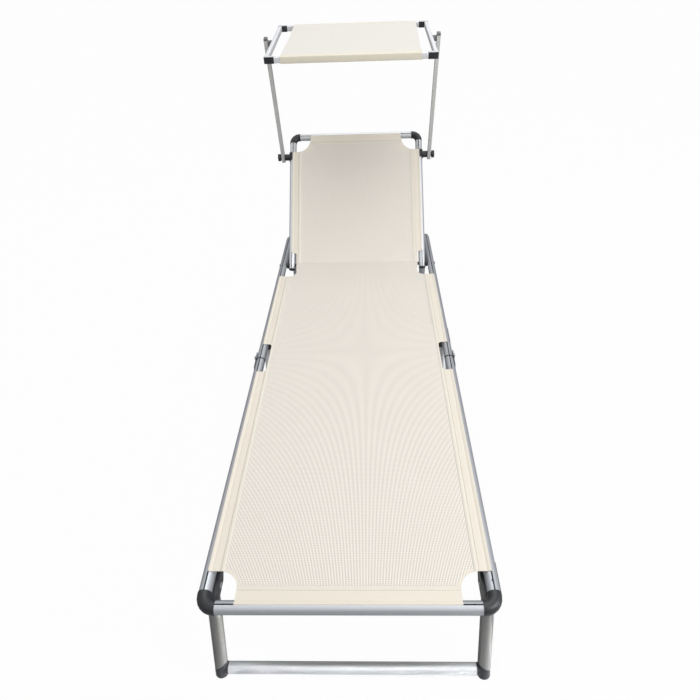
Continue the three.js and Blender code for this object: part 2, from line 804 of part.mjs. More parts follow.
// Bolt through rail and backrest tube, with the black spacer between them.
function pivotBolt() {
  const outer = railX + railRadius + gap;
  const tubeIn = backX - backRadius - gap;
  const head = turned(new THREE.Vector3(outer, 0, 0), xAxis, [
    [0, boltHead], [boltProud / 2, boltHead], [boltProud, boltHead / 2],
  ], smallSides);
  const end = tubeIn - nutLength;
  const shank = rod(boltRadius, new THREE.Vector3(end, 0, 0), xAxis, outer - end + gap, smallSides);
  const nut = rod(boltHead, new THREE.Vector3(end, 0, 0), xAxis, nutLength, nutSides);
  const spacerStart = backX + backRadius + gap;
  const spacer = rod(spacerRadius, new THREE.Vector3(spacerStart, 0, 0), xAxis,
    railX - railRadius - gap - spacerStart);
  return joined(head, shank, nut, spacer);
}

function backRail() {
  const tube = slottedAlongY(backRadius, backX, -backStub + capThick, headElbowSide - gap);
  const hole = rod(boltHole, new THREE.Vector3(0, 0, 0), xAxis, railX, smallSides);
  const seat = rod(wireRadius + turnPlay, new THREE.Vector3(0, propPivotAt, 0), xAxis, backX,
    smallSides);
  return cut(tube, hole, seat);
}

function backEndCap() {
  const end = -backStub + capThick - gap;
  return turned(new THREE.Vector3(backX, end, 0), yAxis, [
    [-capThick, backRadius - capRound - capRound / 2], [-capThick + capRound / 2, backRadius - capRound / 2],
    [-capRound / 2, backRadius], [0, backRadius], [0, backInside - spigotPlay],
    [capSpigot, backInside - spigotPlay],
  ]);
}

const clampRadius = 15.8;
const clampHalf = 15;
const bossRadius = 12;
const bossHoleDepth = 15;

// Clamp round the outer side of a backrest tube, with the boss that carries the canopy's arm.
function canopyBracket() {
  const bossEnd = armInnerX - gap;
  const ring = rod(clampRadius, new THREE.Vector3(backX, armAt - clampHalf, 0), yAxis,
    clampHalf + clampHalf);
  const boss = rod(bossRadius, new THREE.Vector3(backX, armAt, 0), xAxis, bossEnd - backX);
  const tube = rod(backRadius + gap, new THREE.Vector3(backX, armAt - overrun, 0), yAxis,
    overrun + overrun);
  const opening = box(backX - overrun, backX + slotWidth, armAt - overrun, armAt + overrun,
    0, overrun);
  const hole = rod(boltHole, new THREE.Vector3(bossEnd - bossHoleDepth, armAt, 0), xAxis, overrun,
    smallSides);
  return cut(joined(ring, boss), tube, opening, hole);
}

function backProp() {
  const frames = [];
  const place = (x, y, direction) => frames.push({
    centre: new THREE.Vector3(x, y, 0), side: direction.clone().cross(zAxis), rise: zAxis,
    size: wireRadius,
  });
  const down = yAxis.clone().negate();
  place(propArmX, propLength, down);
  for (let i = 0; i <= wrapSteps; i++) {
    const angle = quarter * (i / wrapSteps);
    const direction = new THREE.Vector3(Math.sin(angle), -Math.cos(angle), 0);
    const x = propArmX + propBend * (1 - Math.cos(angle));
    place(x, propBend * (1 - Math.sin(angle)), direction);
  }
  place(propPinEnd, 0, xAxis);
  for (const frame of frames) frame.side.negate();
  const arm = loft(circle(smallSides), frames);
  const bar = rod(wireRadius, new THREE.Vector3(-propBarReach, propLength, 0), xAxis,
    propBarReach + propBarReach, smallSides);
  return joined(bar, arm, mirroredX(arm));
}

function backrest() {
  const group = new THREE.Group();
  group.name = "backrest_body";
  group.position.set(0, pivotAt, 0);
  group.rotation.x = recline;
  pair(group, "back_rail", backRail(), "silver");
  pair(group, "back_end_cap", backEndCap(), "black");
  const corner = elbow(backX, backLength, headElbowBend, headCollar, backInside,
    headElbowSide, headElbowBar);
  pair(group, "head_elbow", corner, "black");
  group.add(mesh("head_crossbar", slottedAlongX(backRadius, backLength, headElbowBar - gap), "silver"));
  group.add(mesh("back_sling", backSling(), "mesh"));
  pair(group, "canopy_bracket", canopyBracket(), "black");
  const knobs = new THREE.Group();
  knobs.name = "lock_knob_body";
  knobs.position.y = armAt;
  pair(knobs, "lock_knob", lockKnob(), "black");
  const prop = new THREE.Group();
  prop.name = "prop_body";
  prop.position.y = propPivotAt;
  prop.rotation.x = -propAngle - recline;
  prop.add(mesh("back_prop", backProp(), "steel"));
  group.add(knobs, prop, canopyArms());
  return group;
}

// Canopy arms, knobs and canopy.

const armEndRadius = 10;
const armEnd = 21;
const armTop = 11;
const armWall = 1.5;
const armRound = 1.5;
const knobRadius = 15;
const knobLobe = 2;
const knobLobes = 6;
const knobThick = 10;
const knobCollar = 3.3;
const knobStud = 24;
const capTall = 5;
const hubRadius = 9;
const hubNeck = 5;
const hubPin = 9;
const plugTall = 28;

// Rectangular tube with rounded lower end; the top is open for its head piece.
function canopyArm() {
  const half = armDeep / 2;
  const low = -armEnd + armEndRadius;
  const arc = Array.from({ length: smallSides / 2 + 1 }, (_, i) => {
    const angle = Math.PI + Math.PI * (i / (smallSides / 2));
    return [half * Math.cos(angle), low + armEndRadius * Math.sin(angle)];
  });
  const side = acrossX([...arc, [half, armLength + armTop], [-half, armLength + armTop]],
    armInnerX, armInnerX + armWide);
  const inner = armWall + gap / 2;
  const hollow = box(armInnerX + inner, armInnerX + armWide - inner, -half + inner, half - inner,
    armEnd, armLength + overrun);
  const hole = rod(boltHole, new THREE.Vector3(0, 0, 0), xAxis, railX + overrun, smallSides);
  const neck = rod(hubNeck + gap, new THREE.Vector3(armInnerX - gap, 0, armLength), xAxis,
    armWide / 2, smallSides);
  return cut(side, hollow, hole, neck);
}

// Cap and plug of the arm's top with the hub that carries the canopy's side bar.
function armHead() {
  const half = armDeep / 2;
  const top = armLength + armTop + gap;
  const middle = armInnerX + armWide / 2;
  const outline = roundedOutline(armWide, armDeep, armRound).map(([x, y]) => [x + middle, y]);
  const cap = upZ(outline, top, top + capTall);
  const inner = armWall + gap + gap;
  const plug = box(armInnerX + inner, armInnerX + armWide - inner, -half + inner, half - inner,
    top - plugTall, top + gap);
  const hubStart = canopyHalf + gap;
  const centre = new THREE.Vector3(0, 0, armLength);
  const hub = turned(centre, xAxis, [
    [hubStart - hubPin, boltRadius], [hubStart, boltRadius], [hubStart, hubRadius],
    [armInnerX - gap, hubRadius], [armInnerX - gap, hubNeck], [middle, hubNeck],
  ], smallSides);
  return joined(cap, plug, hub);
}

// Lobed knob with the stud that clamps the arm to its bracket.
function lockKnob() {
  const outer = armInnerX + armWide + gap;
  const sides = knobLobes * knobLobes;
  const star = Array.from({ length: sides }, (_, i) => {
    const angle = (turn * i) / sides;
    const radius = knobRadius - knobLobe + knobLobe * Math.cos(knobLobes * angle);
    return [radius * Math.cos(angle), radius * Math.sin(angle)];
  });
  const grip = acrossX(star, outer + knobCollar, outer + knobCollar + knobThick);
  const collar = rod(knobRadius / 2, new THREE.Vector3(outer, 0, 0), xAxis, knobCollar + gap,
    smallSides);
  const stud = rod(boltRadius, new THREE.Vector3(outer - knobStud, 0, 0), xAxis, knobStud + gap,
    smallSides);
  return joined(grip, collar, stud);
}

const cornerWide = 30;
const cornerDeep = 15;
const cornerProud = 0.4;
const cornerRound = 2.5;
const barRound = 2.5;
const sleeveGap = 0.4;
const clothSheet = 1.2;

function framePipe(outline, inside, start, end, place) {
  return cut(place(outline, start, end), place(inside, start - overrun, end + overrun));
}

const barOutline = roundedOutline(barWide, barTall, barRound);
const barInside = roundedOutline(barWide - armWall - armWall, barTall - armWall - armWall,
  armRound / 2);
const shifted = (points, a, b) => points.map(([x, z]) => [x + a, z + b]);

function canopySideBar() {
  const x = canopyHalf - barWide / 2;
  const front = -canopyFront + cornerDeep + gap;
  const back = canopyBack - cornerDeep - gap;
  const tube = framePipe(shifted(barOutline, x, 0), shifted(barInside, x, 0), front, back, alongY);
  const hole = rod(boltHole, new THREE.Vector3(x, 0, 0), xAxis, barWide, smallSides);
  return cut(tube, hole);
}

function canopyCrossBar(y) {
  const reach = canopyHalf - cornerWide - gap;
  return framePipe(shifted(barOutline, y, 0), shifted(barInside, y, 0), -reach, reach, acrossX);
}

const canopyBarY = { front: -canopyFront + barWide / 2, back: canopyBack - barWide / 2 };

// Corner block at the front right; its spigots enter the side bar and the crossbar.
function canopyCorner() {
  const wideX = cornerWide + cornerProud;
  const deepY = cornerDeep + cornerProud;
  const x = canopyHalf + cornerProud - wideX / 2;
  const y = -canopyFront - cornerProud + deepY / 2;
  const half = barTall / 2;
  const bevel = cornerProud + cornerProud;
  const block = upZ(shifted(roundedOutline(wideX, deepY, cornerRound), x, y), -half, half);
  const core = upZ(shifted(roundedOutline(wideX - bevel, deepY - bevel, cornerRound), x, y),
    -half - cornerProud, half + cornerProud);
  const inner = armWall + gap;
  const wide = barWide / 2 - inner;
  const high = barTall / 2 - inner;
  const barX = canopyHalf - barWide / 2;
  const intoSide = box(barX - wide, barX + wide, y, -canopyFront + cornerDeep + spigotLength,
    -high, high);
  const intoBar = box(canopyHalf - cornerWide - spigotLength, x, canopyBarY.front - wide,
    canopyBarY.front + wide, -high, high);
  return joined(block, core, intoSide, intoBar);
}

function mirroredY(solid, shift) {
  const geometry = geometryOf(solid);
  geometry.rotateZ(Math.PI);
  geometry.translate(0, shift, 0);
  return mirroredX(solidOf(geometry));
}

// Cloth with a sleeve round the front bar and one round the back bar.
function canopyCloth() {
  const sleeve = roundedOutline(barWide + sleeveGap * 2 + clothSheet * 2,
    barTall + sleeveGap * 2 + clothSheet * 2, barRound + sleeveGap + clothSheet);
  const space = roundedOutline(barWide + sleeveGap * 2, barTall + sleeveGap * 2,
    barRound + sleeveGap);
  const half = clothWidth / 2;
  const top = barTall / 2 + sleeveGap;
  const sheet = box(-half, half, canopyBarY.front, canopyBarY.back, top, top + clothSheet);
  const ends = Object.values(canopyBarY);
  const sleeves = ends.map((y) => acrossX(shifted(sleeve, y, 0), -half, half));
  const spaces = ends.map((y) => acrossX(shifted(space, y, 0), -half - overrun, half + overrun));
  return cut(joined(sheet, ...sleeves), ...spaces);
}

function canopy() {
  const group = new THREE.Group();
  group.name = "canopy_body";
  group.position.z = armLength;
  group.rotation.x = canopyTilt - armLean;
  pair(group, "canopy_side_bar", canopySideBar(), "silver");
  group.add(mesh("canopy_front_bar", canopyCrossBar(canopyBarY.front), "silver"));
  group.add(mesh("canopy_back_bar", canopyCrossBar(canopyBarY.back), "silver"));
  const corner = canopyCorner();
  pair(group, "canopy_front_corner", corner, "black");
  pair(group, "canopy_back_corner", mirroredY(corner, canopyBack - canopyFront), "black");
  group.add(mesh("canopy_cloth", canopyCloth(), "cloth"));
  return group;
}

function canopyArms() {
  const group = new THREE.Group();
  group.name = "canopy_arms_body";
  group.position.y = armAt;
  group.rotation.x = armLean - recline;
  pair(group, "canopy_arm", canopyArm(), "armGrey");
  pair(group, "arm_head", armHead(), "darkGrey");
  group.add(canopy());
  return group;
}

function backPivots() {
  const group = new THREE.Group();
  group.name = "backrest_pivot_body";
  group.position.set(0, pivotAt, 0);
  pair(group, "back_pivot", pivotBolt(), "black");
  return group;
}

const bed = new THREE.Group();
bed.add(footSection(), foldingLeg("front", frontLegAt), foldingLeg("middle", middleLegAt));
bed.add(seatFrame(), backPivots(), backrest());
bed.updateMatrixWorld(true);

// Stand the part on z = 0 with its bounding box centred in plan.
const bounds = new THREE.Box3().setFromObject(bed, true);
bed.position.set(0, -(bounds.min.y + bounds.max.y) / 2, -bounds.min.z);

const lounger = new THREE.Group();
lounger.name = "sun_lounger_with_canopy";
lounger.add(bed);

export default lounger;
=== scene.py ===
# %% [markdown]
# # A folding sun lounger with a tilting canopy
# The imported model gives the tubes, elbows, feet and joints as a fixed frame. This script dresses
# it: smooth metal, moulded plastic, a woven sling that runs over three hinged sections, and a
# small cloth canopy. Everything is in metres, +Y towards the head and +Z up.

# %% Load the frame
import bpy
import bmesh
import json
import math
from mathutils import Matrix, Vector

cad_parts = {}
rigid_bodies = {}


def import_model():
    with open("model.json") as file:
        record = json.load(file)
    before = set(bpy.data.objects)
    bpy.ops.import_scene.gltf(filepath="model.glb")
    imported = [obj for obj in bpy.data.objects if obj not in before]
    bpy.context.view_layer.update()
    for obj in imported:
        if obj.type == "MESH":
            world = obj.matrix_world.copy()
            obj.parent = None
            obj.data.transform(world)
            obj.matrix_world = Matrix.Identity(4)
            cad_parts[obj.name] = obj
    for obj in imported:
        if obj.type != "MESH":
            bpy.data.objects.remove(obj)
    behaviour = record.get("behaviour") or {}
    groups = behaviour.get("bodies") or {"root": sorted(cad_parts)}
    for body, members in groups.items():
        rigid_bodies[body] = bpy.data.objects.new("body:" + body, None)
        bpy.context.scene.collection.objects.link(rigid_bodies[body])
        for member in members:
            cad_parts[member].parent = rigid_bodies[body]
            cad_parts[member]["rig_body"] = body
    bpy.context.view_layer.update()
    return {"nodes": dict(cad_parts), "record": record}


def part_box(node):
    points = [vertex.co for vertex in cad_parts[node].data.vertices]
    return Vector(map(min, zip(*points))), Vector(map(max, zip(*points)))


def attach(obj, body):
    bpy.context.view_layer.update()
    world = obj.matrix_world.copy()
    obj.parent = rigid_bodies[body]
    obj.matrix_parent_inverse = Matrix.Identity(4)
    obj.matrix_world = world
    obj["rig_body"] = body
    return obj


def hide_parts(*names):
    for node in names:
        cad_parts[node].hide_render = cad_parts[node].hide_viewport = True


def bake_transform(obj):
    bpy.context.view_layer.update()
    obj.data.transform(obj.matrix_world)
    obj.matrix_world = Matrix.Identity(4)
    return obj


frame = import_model()
nodes = frame["nodes"]

# %% [markdown]
# ## Sizes that the pieces share
# The cloth has to wrap the tubes, so it needs the same radii and places that the frame has. They
# are read from the frame's own boxes where that is possible, and named here where it is not.

# %% Shared sizes
MM = 0.001
RAIL_R = 13 * MM
BACK_R = 12.4 * MM
foot_low, foot_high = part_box("foot_crossbar")
rail_low, rail_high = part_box("foot_rail_right")
RAIL_X = (rail_low.x + rail_high.x) / 2
BED_Z = (foot_low.z + foot_high.z) / 2
FOOT_EDGE = foot_low.y
FOLD_Y = FOOT_EDGE + 747 * MM
PIVOT_Y = FOOT_EDGE + 1314.5 * MM
RECLINE = math.radians(42.6)
BACK_X = 244.3 * MM
BACK_LENGTH = 522 * MM
ARM_AT = 440 * MM
ARM_LENGTH = 419 * MM
ARM_LEAN = math.radians(13.3)
CANOPY_TILT = math.radians(4.8)
print("rail x", round(RAIL_X, 5), "bed plane z", round(BED_Z, 5), "fold y", round(FOLD_Y, 4))


def on_back(x, s, n):
    """A point of the backrest: s along its tubes from the pivot, n out of its front face."""
    y = PIVOT_Y + s * math.cos(RECLINE) - n * math.sin(RECLINE)
    z = BED_Z + s * math.sin(RECLINE) + n * math.cos(RECLINE)
    return Vector((x, y, z))


BRACKET = on_back(0, ARM_AT, 0)
ARM_TOP = BRACKET + Vector((0, -math.sin(ARM_LEAN), math.cos(ARM_LEAN))) * ARM_LENGTH


def on_canopy(x, y, z):
    """A point of the canopy, counted from its tilting axis."""
    up = Vector((0, -math.sin(CANOPY_TILT), math.cos(CANOPY_TILT)))
    back = Vector((0, math.cos(CANOPY_TILT), math.sin(CANOPY_TILT)))
    return ARM_TOP + back * y + up * z + Vector((x, 0, 0))


# %% [markdown]
# ## Helpers
# Operators act on whatever is selected, and the imported frame arrives selected, so every step
# starts from an empty selection. A new material is a Principled shader whose fixed values are set
# on its own sockets; patterns come in as nodes.

# %% Selection and materials
def select_only(*objects):
    bpy.ops.object.select_all(action="DESELECT")
    for o in objects:
        o.select_set(True)
    if objects:
        bpy.context.view_layer.objects.active = objects[0]


def new_material(name, color, roughness, metallic=0.0, **sockets):
    material = bpy.data.materials.new(name)
    material.use_nodes = True
    shader = material.node_tree.nodes["Principled BSDF"]
    shader.inputs["Base Color"].default_value = (*color, 1)
    shader.inputs["Roughness"].default_value = roughness
    shader.inputs["Metallic"].default_value = metallic
    for socket, value in sockets.items():
        shader.inputs[socket.replace("_", " ")].default_value = value
    return material, material.node_tree, shader


def add(tree, kind, **values):
    node = tree.nodes.new(kind)
    for key, value in values.items():
        if key in node.inputs:
            node.inputs[key].default_value = value
        else:
            setattr(node, key, value)
    return node


def math_node(tree, operation, a, b=None, clamp=False):
    node = tree.nodes.new("ShaderNodeMath")
    node.operation = operation
    node.use_clamp = clamp
    for socket, value in zip(node.inputs, (a, b)):
        if value is None:
            continue
        if isinstance(value, (int, float)):
            socket.default_value = value
        else:
            tree.links.new(value, socket)
    return node.outputs[0]


def color_mix(tree, share, first, second):
    """A colour between two, by a share that is a socket."""
    node = tree.nodes.new("ShaderNodeMix")
    node.data_type = "RGBA"
    tree.links.new(share, node.inputs["Factor"])
    for socket, value in ((node.inputs["A"], first), (node.inputs["B"], second)):
        if isinstance(value, tuple):
            socket.default_value = (*value, 1)
        else:
            tree.links.new(value, socket)
    return node.outputs["Result"]


def map_range(tree, value, first_range, second_range):
    """A socket's value carried in proportion from one range to another and held at its ends."""
    node = add(tree, "ShaderNodeMapRange")
    bounds = (*first_range, *second_range)
    for socket, bound in zip(("From Min", "From Max", "To Min", "To Max"), bounds):
        node.inputs[socket].default_value = bound
    tree.links.new(value, node.inputs["Value"])
    return node.outputs["Result"]


print("helpers ready")

# %% [markdown]
# ## Metal
# The tubes are satin anodised aluminium: soft highlights, a fine grain and small cloudy changes of
# gloss. A metal shader alone looks flat in a white room, so the gloss varies a little and a fine
# bump breaks the highlights. Both noises are read from Object coordinates, so they stay on the
# tube when the tube moves. The six finishes are silver for the rails; a brighter copy of it, which
# is painted light, for the floor bars, the backrest's tubes and the middle leg; a paler, less
# metallic copy, also painted light, for the canopy's bars; a darker copy, which is painted shade,
# for the front leg; grey for the arms; and zinc steel.

# %% Six metal finishes
EDGE_TINT = (0.30, 0.31, 0.33, 1)
GLOSS_SPREAD = 0.012
CLOUD_SHADE = 0.98


def metal(name, color, roughness, metallic):
    material, tree, shader = new_material(name, color, roughness, metallic,
                                          Specular_Tint=EDGE_TINT)
    place = add(tree, "ShaderNodeTexCoord")
    cloud = add(tree, "ShaderNodeTexNoise", Scale=14.0, Detail=3.0, Roughness=0.6)
    grain = add(tree, "ShaderNodeTexNoise", Scale=900.0, Detail=2.0, Roughness=0.5)
    tree.links.new(place.outputs["Object"], cloud.inputs["Vector"])
    tree.links.new(place.outputs["Object"], grain.inputs["Vector"])
    gloss = map_range(tree, cloud.outputs["Fac"], (0, 1),
                      (roughness - GLOSS_SPREAD, roughness + GLOSS_SPREAD))
    tree.links.new(gloss, shader.inputs["Roughness"])
    darker = tuple(CLOUD_SHADE * c for c in color)
    tone = color_mix(tree, cloud.outputs["Fac"], darker, color)
    tree.links.new(tone, shader.inputs["Base Color"])
    bump = add(tree, "ShaderNodeBump", Strength=0.12, Distance=0.0002)
    tree.links.new(grain.outputs["Fac"], bump.inputs["Height"])
    tree.links.new(bump.outputs["Normal"], shader.inputs["Normal"])
    return material


SILVER = metal("satin_silver", (0.53, 0.55, 0.585), 0.45, 0.88)
# A brighter copy of the same silver: painted light, not a different metal.
SILVER_PAINTED_LIGHT = metal("silver_painted_light", (0.72, 0.74, 0.765), 0.42, 0.85)
# A paler, less metallic copy of the silver: painted light on the canopy's bars.
PALE_SILVER_PAINTED_LIGHT = metal("pale_silver_painted_light", (0.70, 0.71, 0.74), 0.5, 0.35)
# A darker copy of the same silver: painted shade on the front legs.
LEG_SILVER_PAINTED_SHADE = metal("leg_silver_painted_shade", (0.29, 0.293, 0.287), 0.34, 0.9)
GREY = metal("satin_grey", (0.70, 0.705, 0.70), 0.48, 0.7)
STEEL = metal("zinc_steel", (0.52, 0.53, 0.55), 0.36, 0.9)
print("metals", [m.name for m in (SILVER, SILVER_PAINTED_LIGHT, PALE_SILVER_PAINTED_LIGHT, LEG_SILVER_PAINTED_SHADE, GREY, STEEL)])

# %% [markdown]
# ## Moulded plastic
# Elbows, brackets, feet and knobs are moulded in near-black nylon with a fine spark-eroded grain.
# A fine noise gives that grain as a bump, and a slower one makes rubbed places a touch greyer.

# %% Black and dark grey plastic
WORN_GAIN = 1.6
WORN_LIFT = 0.006


def plastic(name, color, roughness, gloss):
    material, tree, shader = new_material(name, color, roughness, Specular_IOR_Level=gloss)
    place = add(tree, "ShaderNodeTexCoord")
    grain = add(tree, "ShaderNodeTexNoise", Scale=1400.0, Detail=2.0, Roughness=0.6)
    worn = add(tree, "ShaderNodeTexNoise", Scale=35.0, Detail=4.0, Roughness=0.6)
    tree.links.new(place.outputs["Object"], grain.inputs["Vector"])
    tree.links.new(place.outputs["Object"], worn.inputs["Vector"])
    lighter = tuple(WORN_GAIN * c + WORN_LIFT for c in color)
    tone = color_mix(tree, worn.outputs["Fac"], color, lighter)
    tree.links.new(tone, shader.inputs["Base Color"])
    bump = add(tree, "ShaderNodeBump", Strength=0.25, Distance=0.0002)
    tree.links.new(grain.outputs["Fac"], bump.inputs["Height"])
    tree.links.new(bump.outputs["Normal"], shader.inputs["Normal"])
    return material


BLACK = plastic("black_nylon", (0.009, 0.010, 0.013), 0.40, 0.5)
DARK = plastic("dark_grey_nylon", (0.075, 0.078, 0.082), 0.5, 0.5)
print("plastics", [m.name for m in (BLACK, DARK)])

# %% [markdown]
# ## Woven sling
# The sling is a coated mesh with raised cords that run from head to foot, about 3 mm apart, and
# fainter picks across them. The narrow open gaps between the cords are painted nearly black, a
# painted shade for the shadow seen through the mesh. From the camera's distance they fan out
# towards the foot and melt into an even tone on the seat. The weave is drawn from the cloth's
# own UV map, which is in metres on the flat cloth, so it bends with the cloth.
# Attributes on the mesh say where the cloth is doubled for a hem, where the hem's folded edge
# stands up as a ridge, and where the seam's stitches run: there the cords are fainter and the
# tone is yellower.

# %% Sling and canopy cloth
CORD_PITCH = 2.97 * MM
PICK_PITCH = 3.7 * MM
STITCH = 4.4 * MM
PICK_SHARE = 0.3
CORD_SHARP = 0.75
PICK_SHARP = 0.5
STITCH_SHARP = 0.3
HEM_SHADE = 0.55
HEM_HEIGHT = 0.8
CLOUD_SHARE = 0.10
CLOUD_TONE = 0.86


def strand_wave(tree, along, pitch, sharp):
    """Rounded ridges across the direction `along`, one each pitch, from 0 to 1."""
    turns = math_node(tree, "MULTIPLY", along, math.pi / pitch)
    wave = math_node(tree, "ABSOLUTE", math_node(tree, "SINE", turns))
    return math_node(tree, "POWER", wave, sharp)


def attribute(tree, name):
    return add(tree, "ShaderNodeAttribute", attribute_name=name).outputs["Fac"]


def woven(name, light, shade, hem_tone, ridge_tone, pitches, faint, stitched, depth):
    material, tree, shader = new_material(name, light, 0.72, Sheen_Weight=0.12,
                                          Sheen_Roughness=0.5)
    flat = add(tree, "ShaderNodeUVMap", uv_map="cloth")
    split = add(tree, "ShaderNodeSeparateXYZ")
    tree.links.new(flat.outputs["UV"], split.inputs["Vector"])
    cords = strand_wave(tree, split.outputs["X"], pitches[0], CORD_SHARP)
    picks = strand_wave(tree, split.outputs["Y"], pitches[1], PICK_SHARP)
    weft = math_node(tree, "ADD", math_node(tree, "MULTIPLY", picks, PICK_SHARE), 1 - PICK_SHARE)
    body = math_node(tree, "MULTIPLY", cords, weft)
    field = color_mix(tree, body, shade, light)
    covered = math_node(tree, "ADD", math_node(tree, "MULTIPLY", body, faint), 1 - faint)
    hem_shade = tuple(HEM_SHADE * c for c in hem_tone)
    doubled = color_mix(tree, covered, hem_shade, hem_tone)
    tone = color_mix(tree, attribute(tree, "hem"), field, doubled)
    tone = color_mix(tree, attribute(tree, "ridge"), tone, ridge_tone)
    across = strand_wave(tree, split.outputs["X"], STITCH, STITCH_SHARP)
    along = strand_wave(tree, split.outputs["Y"], STITCH, STITCH_SHARP)
    thread = math_node(tree, "MULTIPLY", across, along)
    seam = math_node(tree, "MULTIPLY", attribute(tree, "seam"), thread)
    tone = color_mix(tree, seam, tone, tuple(stitched * c for c in hem_tone))
    cloud = add(tree, "ShaderNodeTexNoise", Scale=9.0, Detail=3.0, Roughness=0.55)
    tree.links.new(flat.outputs["UV"], cloud.inputs["Vector"])
    slight = math_node(tree, "MULTIPLY", cloud.outputs["Fac"], CLOUD_SHARE)
    tinted = color_mix(tree, slight, tone, tuple(CLOUD_TONE * c for c in light))
    tree.links.new(tinted, shader.inputs["Base Color"])
    hem_height = math_node(tree, "MULTIPLY", attribute(tree, "hem"), HEM_HEIGHT)
    height = math_node(tree, "MAXIMUM", body, hem_height)
    bump = add(tree, "ShaderNodeBump", Strength=0.5, Distance=depth)
    tree.links.new(height, bump.inputs["Height"])
    tree.links.new(bump.outputs["Normal"], shader.inputs["Normal"])
    return material


# The sling's gap colour is nearly black: painted shade seen through the open mesh.
SLING = woven("sling_mesh", light=(0.98, 0.925, 0.84), shade=(0.03, 0.027, 0.022),
              hem_tone=(0.70, 0.65, 0.56), ridge_tone=(0.665, 0.625, 0.55),
              pitches=(CORD_PITCH, PICK_PITCH), faint=0.2, stitched=0.5, depth=0.5 * MM)
CANOPY = woven("canopy_cloth", light=(0.65, 0.625, 0.58), shade=(0.59, 0.57, 0.53),
               hem_tone=(0.69, 0.645, 0.53), ridge_tone=(0.74, 0.70, 0.60),
               pitches=(MM, MM), faint=0.3, stitched=0.93, depth=0.2 * MM)
print("cloths", SLING.name, CANOPY.name)

# %% [markdown]
# ## Rigid pieces
# The frame's meshes are loose flat triangles. Each rigid node is copied, its doubles are merged
# and it is shaded smooth up to a fold of 32 degrees, so that a tube of twenty flats reads as
# round while its cut ends stay crisp. The copy also brings stored normals of the loose
# triangles, which no longer fit once the points are merged and smear the highlights, so they
# are cleared first. The copy then stands for the node. Its slot picks its finish, and some tubes
# then get a brighter or paler copy of the silver as painted light, or a darker one as painted
# shade.

# %% Smooth copies of the rigid nodes
SMOOTH = math.radians(32)
MERGE = 0.02 * MM
FINISHES = {
    "silver_tube": SILVER, "grey_tube": GREY, "steel": STEEL, "black_plastic": BLACK,
    "dark_plastic": DARK,
}
slot_of = {s["node"]: s["material_slot"] for s in frame["record"]["subparts"]}


def smooth_copy(name):
    node = nodes[name]
    copy = bpy.data.objects.new(name + "_finished", node.data.copy())
    bpy.context.scene.collection.objects.link(copy)
    select_only(copy)
    bpy.ops.object.mode_set(mode="EDIT")
    bpy.ops.mesh.select_all(action="SELECT")
    bpy.ops.mesh.remove_doubles(threshold=MERGE)
    bpy.ops.object.mode_set(mode="OBJECT")
    bpy.ops.mesh.customdata_custom_splitnormals_clear()
    bpy.ops.object.shade_smooth_by_angle(angle=SMOOTH)
    copy.data.materials.clear()
    copy.data.materials.append(FINISHES[slot_of[name]])
    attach(copy, node["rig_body"])
    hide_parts(name)
    return copy


def finish_faces(piece, material, chosen):
    """A second finish on the faces whose middle and normal pass the test."""
    piece.data.materials.append(material)
    count = 0
    for face in piece.data.polygons:
        if chosen(face.center, face.normal):
            face.material_index = 1
            count += 1
    return count


rigid = [n for n in nodes if slot_of[n] in FINISHES]
finished = {n: smooth_copy(n) for n in rigid}
# These tubes get the brighter silver, which is painted light.
for name in ("front_floor_bar", "middle_floor_bar", "rear_floor_bar", "head_crossbar",
             "back_rail_left", "back_rail_right", "middle_leg_left", "middle_leg_right"):
    finished[name].data.materials[0] = SILVER_PAINTED_LIGHT
# The canopy's bars get the paler silver, which is painted light.
for name in ("canopy_front_bar", "canopy_back_bar", "canopy_side_bar_left",
             "canopy_side_bar_right"):
    finished[name].data.materials[0] = PALE_SILVER_PAINTED_LIGHT
# The front legs get the darker silver, which is painted shade.
for name in ("front_leg_left", "front_leg_right"):
    finished[name].data.materials[0] = LEG_SILVER_PAINTED_SHADE
print("rigid pieces", len(finished))

# %% [markdown]
# ## Plugs and rivets
# Where the rails meet at the mid fold each end is closed by a black plug with a thin flange, and
# a tongue of the plug runs a little way into the slot. The leg brackets turn on steel rivets with
# domed heads, and one small screw sits in the right rail's slot behind the corner elbow. They are
# turned and pressed parts, so each starts as a cylinder or a box of its real size; its rim is
# bevelled, and the copies get a mesh of their own.

# %% Helpers for small fittings
def settled(piece, name, material, body):
    """Puts the piece's place into its mesh, names it and lets it ride."""
    select_only(piece)
    bpy.ops.object.transform_apply(location=True, rotation=True, scale=True)
    bpy.ops.object.shade_smooth_by_angle(angle=SMOOTH)
    piece.name = name
    piece.data.materials.clear()
    piece.data.materials.append(material)
    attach(piece, body)
    return piece


def bevelled_disc(radius, thick, rim, place, turn):
    """A disc with rounded rims, its axis along Z before the turn."""
    select_only()
    bpy.ops.mesh.primitive_cylinder_add(vertices=40, radius=radius, depth=thick, location=place,
                                        rotation=turn)
    disc = bpy.context.object
    bevel = disc.modifiers.new("rim", "BEVEL")
    bevel.width, bevel.segments, bevel.limit_method = rim, 3, "ANGLE"
    bpy.ops.object.modifier_apply(modifier=bevel.name)
    return disc


ALONG_Y = (math.pi / 2, 0, 0)
ALONG_X = (0, math.pi / 2, 0)
print("helpers for fittings ready")

# %% [markdown]
# ## Plugs at the mid fold
# Each flange stands a little proud of its tube all round, except on top, where it is flat to clear
# its neighbour when the foot section folds. Each tongue gets narrower and lower towards its tip.

